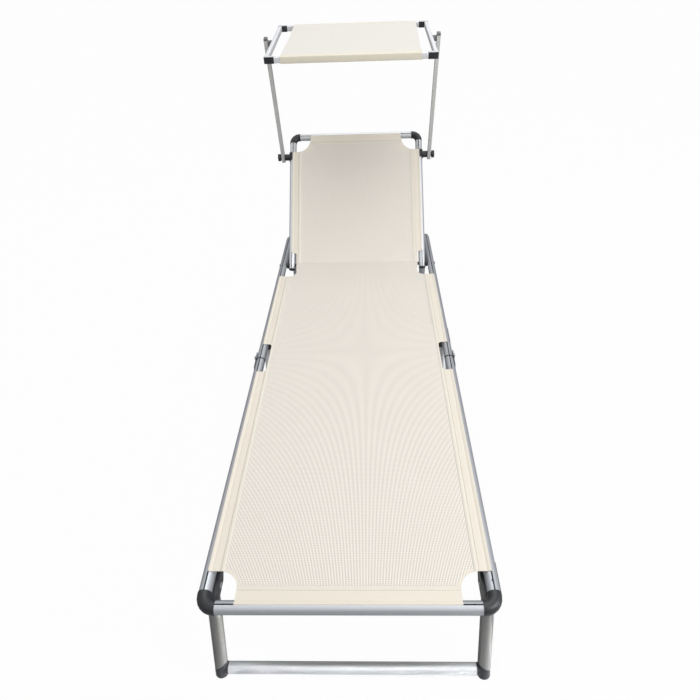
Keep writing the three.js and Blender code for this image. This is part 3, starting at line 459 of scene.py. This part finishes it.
# %% Plug flanges and tongues at the mid fold
FLANGE = 2.4 * MM
FLANGE_R = RAIL_R + 0.25 * MM
FLANGE_TOP = RAIL_R - 0.03 * MM
FLANGE_RIM = 0.4 * MM
FOLD_GAP = 0.25 * MM
TONGUE = 19 * MM
TONGUE_WIDE = 3.4 * MM
TONGUE_HIGH = 2 * MM
TONGUE_SUNK = 0.7 * MM
TONGUE_RIM = 0.3 * MM
TIP_SHARE = 0.4
TIP_DROP = 0.5 * MM


def plug_flange(x, way, name, body):
    """A thin ring round the tube's end; its top is flat, so it clears its neighbour in the fold."""
    place = (x, FOLD_Y + way * (FOLD_GAP + FLANGE / 2), BED_Z)
    disc = bevelled_disc(FLANGE_R, FLANGE, FLANGE_RIM, place, ALONG_Y)
    flange = settled(disc, name, BLACK, body)
    for vertex in flange.data.vertices:
        vertex.co.z = min(vertex.co.z, BED_Z + FLANGE_TOP)
    return flange


def plug_tongue(x, way, name, body):
    """A small tapered bar in the slot, its root at the flange and its tip along the rail."""
    select_only()
    place = (x, FOLD_Y + way * (FLANGE + TONGUE / 2), BED_Z + RAIL_R - TONGUE_SUNK)
    bpy.ops.mesh.primitive_cube_add(size=1, location=place)
    tongue = bpy.context.object
    tongue.scale = (TONGUE_WIDE, TONGUE, TONGUE_HIGH)
    bpy.ops.object.transform_apply(location=False, rotation=False, scale=True)
    for vertex in tongue.data.vertices:
        if way * vertex.co.y > 0:
            vertex.co.x *= TIP_SHARE
            vertex.co.z -= TIP_DROP
    bevel = tongue.modifiers.new("edge", "BEVEL")
    bevel.width, bevel.segments = TONGUE_RIM, 2
    bpy.ops.object.modifier_apply(modifier=bevel.name)
    return settled(tongue, name, BLACK, body)


for side, x in (("left", -RAIL_X), ("right", RAIL_X)):
    for part, way, body in (("foot", -1, "foot_section"), ("seat", 1, "seat_frame")):
        plug_flange(x, way, f"{part}_plug_flange_{side}", body)
        plug_tongue(x, way, f"{part}_plug_tongue_{side}", body)
print("plugs at y", round(FOLD_Y, 4))

# %% [markdown]
# ## Rivets and screw
# Each leg bracket has one rivet head on its outer side and one on its inner side, level with the
# leg's turning axis. The screw is placed from the elbow's own end.

# %% Rivets of the leg brackets
LEG_DROP = 29.7 * MM
FRONT_LEG_Y = FOOT_EDGE + 73 * MM
MIDDLE_LEG_Y = FOLD_Y + 128 * MM
RIVET_R = 6.2 * MM
RIVET_HIGH = 1.7 * MM
RIVET_RIM = 0.7 * MM
RIVET_PROUD = 0.2 * MM
SCREW_R = 2.3 * MM
SCREW_HIGH = 1.6 * MM
SCREW_RIM = 0.5 * MM
SCREW_ASIDE = 0.6 * MM
SCREW_PAST_ELBOW = 5 * MM


def leg_rivets(name, at_y, body):
    """Two domed heads at the ends of the bracket's rivet."""
    low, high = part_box(name)
    for end, x, way in (("a", low.x, 1), ("b", high.x, -1)):
        place = (x + way * (RIVET_HIGH / 2 - RIVET_PROUD), at_y, BED_Z - LEG_DROP)
        rivet = bevelled_disc(RIVET_R, RIVET_HIGH, RIVET_RIM, place, ALONG_X)
        settled(rivet, f"{name}_rivet_{end}", STEEL, body)


for side in ("left", "right"):
    leg_rivets(f"front_leg_bracket_{side}", FRONT_LEG_Y, "foot_section")
    leg_rivets(f"middle_leg_bracket_{side}", MIDDLE_LEG_Y, "seat_frame")
elbow_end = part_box("foot_elbow_right")[1].y
screw_place = (RAIL_X - SCREW_ASIDE, elbow_end + SCREW_PAST_ELBOW, BED_Z + RAIL_R)
screw = bevelled_disc(SCREW_R, SCREW_HIGH, SCREW_RIM, screw_place, (0, 0, 0))
settled(screw, "foot_rail_screw", BLACK, "foot_section")
print("rivets and screw ready")

# %% [markdown]
# ## Canopy corners
# The faces that look up on the canopy's four corner pieces are grey, a painted reflection of the
# sky on the black plastic, and the rest stays black.

# %% Painted sky reflection on the tops of the canopy's corners
# The grey on the upward faces is a painted reflection of the sky.
for name in ("canopy_front_corner_left", "canopy_front_corner_right",
             "canopy_back_corner_left", "canopy_back_corner_right"):
    painted_sky_tops = finish_faces(finished[name], GREY, lambda centre, normal: normal.z > 0.9)
    print(name, "grey faces", painted_sky_tops)

# %% [markdown]
# ## The sling's cut
# The real sling is cut flat with corners left out for the elbows, hinges and pivots, and its
# edges are held by cords in the tubes' slots. It is made the same way here: an outline on the
# flat, filled as one face, cut into a fine grid by bisecting it, and then laid over the frame
# point by point. Bisecting keeps the curved cut-outs exact, which a plain grid would not.

# %% Flat cloth from an outline
def flat_cloth(name, outline, u_lines, v_lines):
    mesh = bpy.data.meshes.new(name)
    made = bmesh.new()
    face = made.faces.new([made.verts.new((u, v, 0)) for u, v in outline])
    if face.normal.z < 0:
        face.normal_flip()
    for axis, lines in ((0, u_lines), (1, v_lines)):
        for at in lines:
            point, normal = Vector((0, 0, 0)), Vector((0, 0, 0))
            point[axis], normal[axis] = at, 1
            everything = made.verts[:] + made.edges[:] + made.faces[:]
            bmesh.ops.bisect_plane(made, geom=everything, dist=1e-6, plane_co=point,
                                   plane_no=normal)
    made.normal_update()
    for f in made.faces:
        if f.normal.z < 0:
            f.normal_flip()
    made.to_mesh(mesh)
    made.free()
    cloth = bpy.data.objects.new(name, mesh)
    bpy.context.scene.collection.objects.link(cloth)
    return cloth


def new_marks(mesh):
    """Three numbers for each point, all zero at first: hem, ridge and seam."""
    return {name: mesh.attributes.new(name, "FLOAT", "POINT") for name in ("hem", "ridge", "seam")}


def keep_flat_place(cloth, from_seam):
    """The flat place of each point as UV in metres, and the hem, its ridge and its seam."""
    mesh = cloth.data
    uv = mesh.uv_layers.new(name="cloth")
    marks = new_marks(mesh)
    for loop in mesh.loops:
        uv.data[loop.index].uv = mesh.vertices[loop.vertex_index].co.xy
    for i, vertex in enumerate(mesh.vertices):
        past, bound = from_seam(vertex.co.x, vertex.co.y)
        marks["hem"].data[i].value = 1.0 if past > -RIDGE_WIDE or bound else 0.0
        marks["ridge"].data[i].value = 1.0 if -RIDGE_WIDE < past < -SEAM_HALF else 0.0
        marks["seam"].data[i].value = 1.0 if abs(past) < SEAM_HALF else 0.0


def lines(low, high, step):
    """Even places from low to high, about one step apart."""
    count = max(1, round((high - low) / step))
    return [low + (high - low) * i / count for i in range(count + 1)]


# %% [markdown]
# ## Hems
# Along each edge the cloth is folded back on itself and sewn, about 10 mm in from the side tubes
# and 15 mm in from the crossbars. The folded edge stands up as a low rounded ridge with the seam
# sunk beside it. Both are real height in the mesh: the cloth is cut along the lines where they
# start and stop, and its points are then lifted by their distance from the seam.

# %% Section of a hem
SEAM_HALF = 0.8 * MM
RIDGE_WIDE = 9.6 * MM
RIDGE_HIGH = 1.1 * MM
SEAM_DEEP = 0.3 * MM
HEM_THICK = 0.5 * MM
SEAM_STEPS = [a * MM for a in (-9.8, -9.2, -7.4, -4.9, -2.6, -1.4, -0.9, -0.6, 0.6, 0.9, 2.2)]


def hem_rise(past):
    """Height of the cloth by the distance past the seam, positive towards the cloth's edge."""
    if past < -RIDGE_WIDE:
        return 0.0
    if past < -SEAM_HALF:
        share = (past + RIDGE_WIDE) / (RIDGE_WIDE - SEAM_HALF)
        return RIDGE_HIGH * math.sin(math.pi * share) ** 0.6
    return -SEAM_DEEP if past < SEAM_HALF else HEM_THICK


def seam_lines(*seams):
    """Cutting lines about each seam, given as (place, direction towards the edge)."""
    return [at + way * step for at, way in seams for step in SEAM_STEPS]


print("ridge", RIDGE_WIDE, "high", RIDGE_HIGH)

# %% [markdown]
# ## Laying the cloth on the tubes
# Across the bed the cloth is level, then climbs the inner side of the tube, goes over its top and
# dives into the slot. `over_tube` gives that path by length, so nothing stretches: a point that
# lies so far from the cloth's middle on the flat lies as far along the path in place.

# %% Path over a tube
CLOTH = 0.72 * MM
LIFT = 0.55 * MM
DIP = 1.5 * MM
SLOT_BEND = 0.9 * MM
INTO_SLOT = 3.2 * MM


def over_tube(distance, centre, radius):
    """(sideways, height) at a distance along the cloth, measured from the middle of the bed."""
    middle = radius + LIFT
    level = radius - DIP
    start = math.asin(level / middle)
    touch = centre - middle * math.cos(start)
    if distance <= touch:
        return distance, level
    past = distance - touch
    arc = middle * (math.pi / 2 - start)
    if past <= arc:
        angle = start + past / middle
        return centre - middle * math.cos(angle), middle * math.sin(angle)
    down = past - arc
    quarter = SLOT_BEND * math.pi / 2
    if down <= quarter:
        angle = down / SLOT_BEND
        return centre + SLOT_BEND * math.sin(angle), middle - SLOT_BEND * (1 - math.cos(angle))
    return centre + SLOT_BEND, middle - SLOT_BEND - (down - quarter)


def flat_reach(centre, radius):
    """Flat length from the middle of the bed to the edge that is held in the tube's slot."""
    middle = radius + LIFT
    start = math.asin((radius - DIP) / middle)
    return centre - middle * math.cos(start) + middle * (math.pi / 2 - start) + INTO_SLOT


def level_until(centre, radius):
    """How far from the middle the cloth stays level before it meets the tube."""
    middle = radius + LIFT
    return centre - middle * math.cos(math.asin((radius - DIP) / middle))


RAIL_REACH = flat_reach(RAIL_X, RAIL_R)
BACK_REACH = flat_reach(BACK_X, BACK_R)
FOOT_LINE = FOOT_EDGE + RAIL_R
END_REACH = flat_reach(0, RAIL_R)
HEAD_REACH = flat_reach(0, BACK_R)
print("flat half widths", round(RAIL_REACH, 4), round(BACK_REACH, 4))

# %% [markdown]
# ## Seat cloth in two lengths
# One cloth runs from the foot crossbar over the mid fold to the crease at the backrest. It is
# made in pieces that meet at lines where one rigid section carries it, so that each piece only
# bends across a single joint. A shallow sag gives it the slight hollow of a used sling.

# %% Outlines of the cloth
FOOT_INNER = FOOT_EDGE + 2 * RAIL_R
FOOT_CUT = 79 * MM
FOOT_CUT_REACH = 214 * MM
FOOT_CUT_R = 38 * MM
MID_X = 251 * MM
MID_R = 11 * MM
MID_BEFORE = FOLD_Y - 63 * MM
MID_AFTER = FOLD_Y + 65 * MM
PIVOT_X = 227 * MM
SEAT_CUT_X = 220 * MM
SEAT_CUT_R = 28 * MM
SEAT_END = PIVOT_Y - 100.5 * MM
LEVEL = RAIL_R - DIP
CREASE = LEVEL * math.tan(RECLINE / 2)
JOIN_Y = FOLD_Y + 160 * MM
SAG = 4 * MM
FOLD_SAG = 0.4
NEAR_FOLD = 120 * MM
HEM_FADE = 2 * MM
COARSE_STEP = 14 * MM
WRAP_STEP = 1.6 * MM
BEND_STEP = 3 * MM
CROSSBAR_ZONE = FOOT_INNER + 4 * MM
SIDE_SEAM = 254 * MM
FOOT_SEAM = FOOT_EDGE + 40.5 * MM
BINDING = 5.5 * MM
CUT_CENTRE = (FOOT_CUT_REACH + FOOT_CUT_R, FOOT_EDGE + FOOT_CUT - FOOT_CUT_R)


def mirrored(right_side):
    """A closed outline from its right half, listed from the foot to the head."""
    return right_side + [(-u, v) for u, v in reversed(right_side)]


def arc_points(cx, cy, radius, first, last, steps=8):
    turn = [first + (last - first) * i / steps for i in range(steps + 1)]
    return [(cx + radius * math.cos(a), cy + radius * math.sin(a)) for a in turn]


foot_start = FOOT_LINE - END_REACH
corner = arc_points(*CUT_CENTRE, FOOT_CUT_R, math.pi, math.pi / 2, 12)
mid_low = arc_points(MID_X + MID_R, MID_BEFORE + MID_R, MID_R, -math.pi / 2, -math.pi)
mid_high = arc_points(MID_X + MID_R, MID_AFTER - MID_R, MID_R, math.pi, math.pi / 2)
pivot_corner = arc_points(SEAT_CUT_X + SEAT_CUT_R, SEAT_END + SEAT_CUT_R, SEAT_CUT_R,
                          -math.pi / 2, -math.pi)
foot_outline = mirrored(
    [(FOOT_CUT_REACH, foot_start), *corner,
     (RAIL_REACH, FOOT_EDGE + FOOT_CUT), (RAIL_REACH, MID_BEFORE), *mid_low,
     *mid_high, (RAIL_REACH, MID_AFTER), (RAIL_REACH, JOIN_Y)])
seat_outline = mirrored(
    [(RAIL_REACH, JOIN_Y), (RAIL_REACH, SEAT_END), *pivot_corner,
     (PIVOT_X, PIVOT_Y - CREASE)])


def sag_at(share_across, share_along):
    """Depth of the hollow, deepest in the middle and none at the tubes."""
    return SAG * (1 - share_across ** 2) * math.sin(math.pi * share_along) ** 0.5


SEAT_LEVEL = level_until(RAIL_X, RAIL_R)
FOOT_LEVEL = FOOT_LINE - level_until(0, RAIL_R)


def from_seat_seam(u, v):
    """Distance past the nearest hem's seam, and whether the point is in a cut-out's binding."""
    past = max(abs(u) - SIDE_SEAM, FOOT_SEAM - v)
    away = math.hypot(abs(u) - CUT_CENTRE[0], v - CUT_CENTRE[1])
    turning = abs(u) < CUT_CENTRE[0] and v > CUT_CENTRE[1] and away < FOOT_CUT_R + BINDING
    straight = abs(u) > FOOT_CUT_REACH - BINDING and v <= CUT_CENTRE[1]
    return past, turning or straight


def lay_seat(cloth):
    """Moves a flat cloth's points onto the rails, with its sag and the height of its hems."""
    for vertex in cloth.data.vertices:
        u, v = vertex.co.x, vertex.co.y
        x, z = over_tube(abs(u), RAIL_X, RAIL_R)
        y = v
        if v < CROSSBAR_ZONE:
            away, z = over_tube(FOOT_LINE - v, 0, RAIL_R)
            y = FOOT_LINE - away
            x = abs(u)
        along = min(1, max(0, (y - FOOT_INNER) / (PIVOT_Y - FOOT_INNER)))
        across = min(1, abs(u) / (RAIL_X - RAIL_R))
        from_fold = min(1, abs(y - FOLD_Y) / NEAR_FOLD)
        z -= sag_at(across, along) * (FOLD_SAG + (1 - FOLD_SAG) * from_fold)
        free = min(SEAT_LEVEL - abs(u), v - FOOT_LEVEL) / HEM_FADE
        z += hem_rise(from_seat_seam(u, v)[0]) * min(1, max(0, free))
        vertex.co = (math.copysign(x, u), y, BED_Z + z)


def cloth_lines(half, wrap_from):
    """Cutting lines across the cloth: wide apart in the middle and close over the tubes."""
    middle = lines(-wrap_from, wrap_from, COARSE_STEP)
    edge = lines(wrap_from, half, WRAP_STEP)[1:-1]
    return sorted(middle + edge + [-u for u in edge])


WRAP_FROM = RAIL_X - RAIL_R - 2 * MM
side_seams = seam_lines((SIDE_SEAM, 1), (-SIDE_SEAM, -1))
binding_lines = lines(FOOT_CUT_REACH - BINDING - MM, MID_X, 4.1 * MM)
foot_cloth = flat_cloth(
    "sling_foot", foot_outline,
    cloth_lines(RAIL_REACH, WRAP_FROM) + side_seams + binding_lines + [-u for u in binding_lines],
    lines(foot_start, FOOT_EDGE + 30 * MM, WRAP_STEP)[1:] + seam_lines((FOOT_SEAM, -1))
    + lines(FOOT_EDGE + 54 * MM, FOOT_EDGE + 90 * MM, 4 * MM)
    + lines(FOOT_EDGE + 102 * MM, JOIN_Y, 12 * MM)
    + lines(FOLD_Y - 24 * MM, FOLD_Y + 24 * MM, BEND_STEP))
keep_flat_place(foot_cloth, from_seat_seam)
lay_seat(foot_cloth)
seat_cloth = flat_cloth(
    "sling_seat", seat_outline, cloth_lines(RAIL_REACH, WRAP_FROM) + side_seams,
    lines(JOIN_Y, PIVOT_Y - CREASE, 10 * MM)[1:-1]
    + lines(PIVOT_Y - CREASE - 24 * MM, PIVOT_Y - CREASE, BEND_STEP)[:-1])
keep_flat_place(seat_cloth, from_seat_seam)
lay_seat(seat_cloth)
print("seat cloth points", len(foot_cloth.data.vertices), len(seat_cloth.data.vertices))

# %% [markdown]
# ## Backrest cloth
# Past the crease the same cloth climbs the backrest and ends in the head crossbar's slot. It is
# laid in the backrest's own slope with the helper that gives a point on the backrest.

# %% Backrest cloth
BACK_START = 50 * MM
BACK_SLANT = 8 * MM
BACK_END = BACK_LENGTH - 67 * MM
HEAD_REACH_X = 176 * MM
HEAD_CUT_R = 52 * MM
HEAD_CUT_WIDE = 0.98 * HEAD_CUT_R
HEAD_CUT_STEPS = 8
head_end = BACK_LENGTH + HEAD_REACH
head_turns = [math.pi / 2 * i / HEAD_CUT_STEPS for i in range(HEAD_CUT_STEPS + 1)]
head_corner = [(BACK_X - BACK_R - 4 * MM, BACK_END)] + [
    (HEAD_REACH_X + HEAD_CUT_WIDE * (1 - math.sin(a)), BACK_END + HEAD_CUT_R * (1 - math.cos(a)))
    for a in head_turns]
back_outline = mirrored(
    [(PIVOT_X, CREASE), (PIVOT_X, BACK_START - BACK_SLANT), (BACK_REACH, BACK_START),
     (BACK_REACH, BACK_END),
     *head_corner, (HEAD_REACH_X, head_end)])
BACK_WRAP = BACK_X - BACK_R - 2 * MM
BACK_SEAM = 222.3 * MM
HEAD_SEAM = BACK_LENGTH - 27.4 * MM
BACK_LEVEL_X = level_until(BACK_X, BACK_R)
HEAD_LEVEL = BACK_LENGTH + level_until(0, BACK_R)
HEAD_ZONE = BACK_LENGTH - BACK_R - 6 * MM
HEAD_BINDING = 5 * MM


def from_back_seam(u, v):
    """Distance past the nearest hem's seam, and whether the point is near a head corner."""
    past = max(abs(u) - BACK_SEAM, v - HEAD_SEAM)
    corner_cut = v > BACK_END - HEAD_BINDING and abs(u) > HEAD_REACH_X - HEAD_BINDING
    return past, corner_cut


def lay_back(cloth):
    """Moves the flat cloth's points onto the backrest's tubes, as lay_seat does on the rails."""
    for vertex in cloth.data.vertices:
        u, v = vertex.co.x, vertex.co.y
        x, n = over_tube(abs(u), BACK_X, BACK_R)
        s = v
        if v > HEAD_ZONE:
            away, n = over_tube(v - BACK_LENGTH, 0, BACK_R)
            s = BACK_LENGTH + away
            x = abs(u)
        across = min(1, abs(u) / (BACK_X - BACK_R))
        along = min(1, max(0, s / (BACK_LENGTH - BACK_R)))
        n -= sag_at(across, along)
        free = min(BACK_LEVEL_X - abs(u), HEAD_LEVEL - v) / HEM_FADE
        n += hem_rise(from_back_seam(u, v)[0]) * min(1, max(0, free))
        vertex.co = on_back(math.copysign(x, u), s, n)


back_cloth = flat_cloth(
    "sling_back", back_outline,
    cloth_lines(BACK_REACH, BACK_WRAP) + seam_lines((BACK_SEAM, 1), (-BACK_SEAM, -1)),
    lines(CREASE, CREASE + 60 * MM, 4 * MM)[1:]
    + lines(CREASE + 72 * MM, HEAD_SEAM - 12 * MM, 11 * MM)
    + seam_lines((HEAD_SEAM, 1)) + lines(BACK_LENGTH - 19 * MM, head_end, WRAP_STEP)[:-1])
keep_flat_place(back_cloth, from_back_seam)
lay_back(back_cloth)
print("backrest cloth points", len(back_cloth.data.vertices))

# %% [markdown]
# ## Thickness, materials and bodies of the sling
# Solidify gives the cloth its 0.7 mm, outwards from the side that touches the tubes.

# %% Finish the sling
CLOTH_SMOOTH = math.radians(50)


def finish_cloth(cloth, material, thickness):
    select_only(cloth)
    cloth.data.materials.append(material)
    solid = cloth.modifiers.new("cloth", "SOLIDIFY")
    solid.thickness = thickness
    solid.offset = 1
    solid.use_even_offset = True
    bpy.ops.object.modifier_apply(modifier=solid.name)
    bpy.ops.object.shade_smooth_by_angle(angle=CLOTH_SMOOTH)
    return cloth


def flat_area(outline):
    pairs = zip(outline, outline[1:] + outline[:1])
    return abs(sum(a[0] * b[1] - b[0] * a[1] for a, b in pairs)) / 2


def flat_size(outline):
    us, vs = [u for u, _ in outline], [v for _, v in outline]
    return max(us) - min(us), max(vs) - min(vs)


for cloth, outline, rests in (
        (foot_cloth, foot_outline, ["foot_crossbar", "foot_rail_left", "foot_rail_right"]),
        (seat_cloth, seat_outline, ["seat_rail_left", "seat_rail_right"]),
        (back_cloth, back_outline, ["back_rail_left", "back_rail_right", "head_crossbar"])):
    finish_cloth(cloth, SLING, CLOTH)
    flat_area(outline)
    print(cloth.name, "flat", [round(a, 3) for a in flat_size(outline)],
          "area", round(flat_area(outline), 4))
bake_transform(foot_cloth)
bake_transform(seat_cloth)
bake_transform(back_cloth)
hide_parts("foot_sling")
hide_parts("seat_sling")
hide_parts("back_sling")

# %% [markdown]
# ## Canopy cloth
# The canopy is one length of closely woven cloth. Each end goes round a bar and is sewn back to
# itself, which makes the flat sleeves; between them it hangs in a slight hollow. The section is
# drawn once as a line in the canopy's own plane and swept across the width. On the back bar the
# cloth has slid a few millimetres to the right, as the photograph shows.

# %% Canopy cloth
CANOPY_HALF = 215 * MM
FRONT_BAR = -193 * MM
BACK_BAR = 195 * MM
BAR_W = 12 * MM
BAR_H = 18 * MM
EASE = 0.7 * MM
CANOPY_SAG = 5 * MM
HEM_LAP = 12 * MM
SLEEVE_SEAM = 15 * MM
SLIDE = 7 * MM
SLEEVE_BEND = 2.2 * MM
LAP_START_DROP = 2.4 * MM
LAP_END_DROP = 1.3 * MM
CANOPY_CLOTH = 0.6 * MM
CANOPY_STEPS = 26


def sleeve_line(centre, outward):
    """Round a bar: from the sheet's top, over the outer side and under, back to the inner side."""
    half_w, half_h = BAR_W / 2 + EASE, BAR_H / 2 + EASE
    line = []
    for a, b, first in ((1, 1, math.pi / 2), (1, -1, 0), (-1, -1, -math.pi / 2)):
        cy, cz = a * (half_w - SLEEVE_BEND), b * (half_h - SLEEVE_BEND)
        for i in range(5):
            angle = first - math.pi / 2 * i / 4
            line.append((centre + outward * (cy + SLEEVE_BEND * math.cos(angle)),
                         cz + SLEEVE_BEND * math.sin(angle)))
    line.append((centre - outward * half_w, half_h - LAP_START_DROP))
    line.append((centre - outward * (half_w + HEM_LAP), half_h - LAP_END_DROP))
    return line


def canopy_hollow(share):
    """Depth of the cloth's hollow at a share of the way from the front bar to the back bar."""
    return CANOPY_SAG * math.sin(math.pi * share) ** 1.2


span = BACK_BAR - FRONT_BAR
top_z = BAR_H / 2 + EASE
shares = [i / CANOPY_STEPS for i in range(1, CANOPY_STEPS)]
sheet_line = [(FRONT_BAR + span * share, top_z - canopy_hollow(share)) for share in shares]
section = list(reversed(sleeve_line(FRONT_BAR, -1))) + sheet_line + sleeve_line(BACK_BAR, 1)
reach_along = [0.0]
for (y0, z0), (y1, z1) in zip(section, section[1:]):
    reach_along.append(reach_along[-1] + math.hypot(y1 - y0, z1 - z0))


def canopy_sheet():
    """The section swept across the width, slid aside more and more towards the back bar."""
    across = lines(-CANOPY_HALF, CANOPY_HALF, 10 * MM)
    made = bmesh.new()
    uv = made.loops.layers.uv.new("cloth")
    slid = [SLIDE * min(1, max(0, (y - FRONT_BAR) / span)) for y, _ in section]
    rows = [[made.verts.new(on_canopy(x + aside, y, z)) for (y, z), aside in zip(section, slid)]
            for x in across]
    for i in range(len(across) - 1):
        for j in range(len(section) - 1):
            corners = [(i, j), (i + 1, j), (i + 1, j + 1), (i, j + 1)]
            face = made.faces.new([rows[a][b] for a, b in corners])
            for loop, (a, b) in zip(face.loops, corners):
                loop[uv].uv = (across[a], reach_along[b])
    made.normal_update()
    mesh = bpy.data.meshes.new("canopy_sheet")
    made.to_mesh(mesh)
    made.free()
    marks = new_marks(mesh)
    seam_y = FRONT_BAR + SLEEVE_SEAM
    for k in range(len(mesh.vertices)):
        y, z = section[k % len(section)]
        sleeve = not FRONT_BAR < y < BACK_BAR or z < 0
        marks["hem"].data[k].value = 1.0 if sleeve else 0.0
        marks["seam"].data[k].value = 1.0 if abs(y - seam_y) < MM or abs(y + seam_y) < MM else 0.0
    sheet = bpy.data.objects.new("canopy_sheet", mesh)
    bpy.context.scene.collection.objects.link(sheet)
    return sheet


canopy_piece = finish_cloth(canopy_sheet(), CANOPY, CANOPY_CLOTH)
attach(canopy_piece, "canopy")
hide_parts("canopy_cloth")

# %% [markdown]
# ## Floor, light and camera
# The photograph has a plain white ground. The floor keeps the object's shadow and still reaches
# white for the camera by mixing in a glow for those rays only. In reflections the floor is dim,
# apart from a pale card laid to the right of the foot end: it gives each leg its light right side.

# %% Floor and world
CARD = (0.85, -1.0, 0)
CARD_EDGE = (0.3, 0.9)
CARD_GLOW = (0.6, 0.04)
FLOOR_GLOW = 0.98


def white_floor():
    material, tree, shader = new_material("white_floor", (0.36, 0.36, 0.36), 0.9)
    path = add(tree, "ShaderNodeLightPath")
    place = add(tree, "ShaderNodeTexCoord")
    from_card = add(tree, "ShaderNodeVectorMath", operation="DISTANCE")
    from_card.inputs[1].default_value = CARD
    tree.links.new(place.outputs["Object"], from_card.inputs[0])
    card = map_range(tree, from_card.outputs["Value"], CARD_EDGE, CARD_GLOW)
    mirrored_share = math_node(tree, "MULTIPLY", path.outputs["Is Glossy Ray"], card)
    seen = math_node(tree, "MAXIMUM", path.outputs["Is Camera Ray"], mirrored_share)
    seen = math_node(tree, "MAXIMUM", seen, path.outputs["Is Transmission Ray"])
    glow = add(tree, "ShaderNodeEmission", Color=(1, 1, 1, 1), Strength=1.0)
    mix = add(tree, "ShaderNodeMixShader")
    tree.links.new(math_node(tree, "MULTIPLY", seen, FLOOR_GLOW), mix.inputs["Fac"])
    tree.links.new(shader.outputs["BSDF"], mix.inputs[1])
    tree.links.new(glow.outputs["Emission"], mix.inputs[2])
    tree.links.new(mix.outputs["Shader"], tree.nodes["Material Output"].inputs["Surface"])
    return material


select_only()
bpy.ops.mesh.primitive_plane_add(size=40, location=(0, 0, 0))
floor = bpy.context.object
floor.name = "floor"
floor.data.materials.append(white_floor())

SKY_RISE = (-0.1, 0.75)
SKY_GLOW = (0.16, 1.0)
AMBIENT = 0.67
world = bpy.data.worlds.new("white_room")
bpy.context.scene.world = world
world.use_nodes = True
room = world.node_tree
background = room.nodes["Background"]
background.inputs["Color"].default_value = (1, 1, 1, 1)
path = add(room, "ShaderNodeLightPath")
sky = add(room, "ShaderNodeTexCoord")
height = add(room, "ShaderNodeSeparateXYZ")
room.links.new(sky.outputs["Generated"], height.inputs["Vector"])
ceiling = map_range(room, height.outputs["Z"], SKY_RISE, SKY_GLOW)
reflected = math_node(room, "MULTIPLY", path.outputs["Is Glossy Ray"], ceiling)
seen = math_node(room, "MAXIMUM", path.outputs["Is Camera Ray"],
                 path.outputs["Is Transmission Ray"])
seen = math_node(room, "MAXIMUM", seen, reflected)
dim = math_node(room, "SUBTRACT", 1, path.outputs["Is Glossy Ray"])
floor_level = math_node(room, "MULTIPLY", dim, AMBIENT)
room.links.new(math_node(room, "MAXIMUM", seen, floor_level), background.inputs["Strength"])
print("floor and world ready")

# %% [markdown]
# ## Lamps
# Two large lamps hang over the bed and the head end. A third stands to the right of the foot end,
# at head height, where it lights the sling without a highlight on the crossbar. The last is small
# and narrow, close to the floor, and lights only the front leg.

# %% Lamps
def area_lamp(name, place, target, size, power):
    data = bpy.data.lights.new(name, "AREA")
    data.shape = "RECTANGLE"
    data.size, data.size_y = size
    data.energy = power
    lamp = bpy.data.objects.new(name, data)
    bpy.context.scene.collection.objects.link(lamp)
    lamp.location = place
    lamp.rotation_euler = (Vector(target) - Vector(place)).to_track_quat("-Z", "Y").to_euler()
    lamp.visible_camera = False
    return lamp


area_lamp("over_bed", (0.2, 0.1, 2.9), (0, 0.1, 0.2), (2.2, 2.2), 27)
area_lamp("over_head", (0.3, 2.4, 2.7), (0, 0, 0.3), (1.8, 1.8), 10)
area_lamp("side_fill", (2.4, -1.6, 1.7), (0, 0.4, 0.5), (1.6, 1.6), 56)
leg_light = area_lamp("leg_light", (1.7, -1.35, 0.10), (0, -0.86, 0.03), (0.3, 0.15), 1.4)
leg_light.data.spread = math.radians(13)
print("lamps ready")

# %% [markdown]
# ## Camera
# The place, tilt and focal length were fitted to the tubes' edges in the photograph, with the
# bed's plane as the reference. The principal point lies a few pixels off the middle, which is a
# small lens shift here.

# %% Camera
IMAGE = 700
SENSOR = 36
FOCAL_PX = 540
CENTRE_X = 354.4
PITCH_DOWN = math.radians(38.2)
YAW = math.radians(-2.3)
ROLL = math.radians(2.2)
EYE = Vector((50.5 * MM, FOOT_EDGE - 482.4 * MM, BED_Z + 1004.9 * MM))

forward = Vector((math.sin(YAW) * math.cos(PITCH_DOWN), math.cos(YAW) * math.cos(PITCH_DOWN),
                  -math.sin(PITCH_DOWN)))
side = Vector((math.cos(YAW), -math.sin(YAW), 0))
down = forward.cross(side)
right = side * math.cos(ROLL) + down * math.sin(ROLL)
below = -side * math.sin(ROLL) + down * math.cos(ROLL)
camera_data = bpy.data.cameras.new("photo_camera")
camera_data.sensor_width = SENSOR
camera_data.lens = FOCAL_PX / IMAGE * SENSOR
camera_data.shift_x = (IMAGE / 2 - CENTRE_X) / IMAGE
camera_data.clip_start, camera_data.clip_end = 0.05, 100
camera = bpy.data.objects.new("photo_camera", camera_data)
bpy.context.scene.collection.objects.link(camera)
turn = Matrix((right, -below, -forward)).transposed()
camera.matrix_world = Matrix.Translation(EYE) @ turn.to_4x4()
bpy.context.scene.camera = camera
bpy.context.scene.view_settings.view_transform = "Standard"
print("camera at", [round(a, 3) for a in EYE])
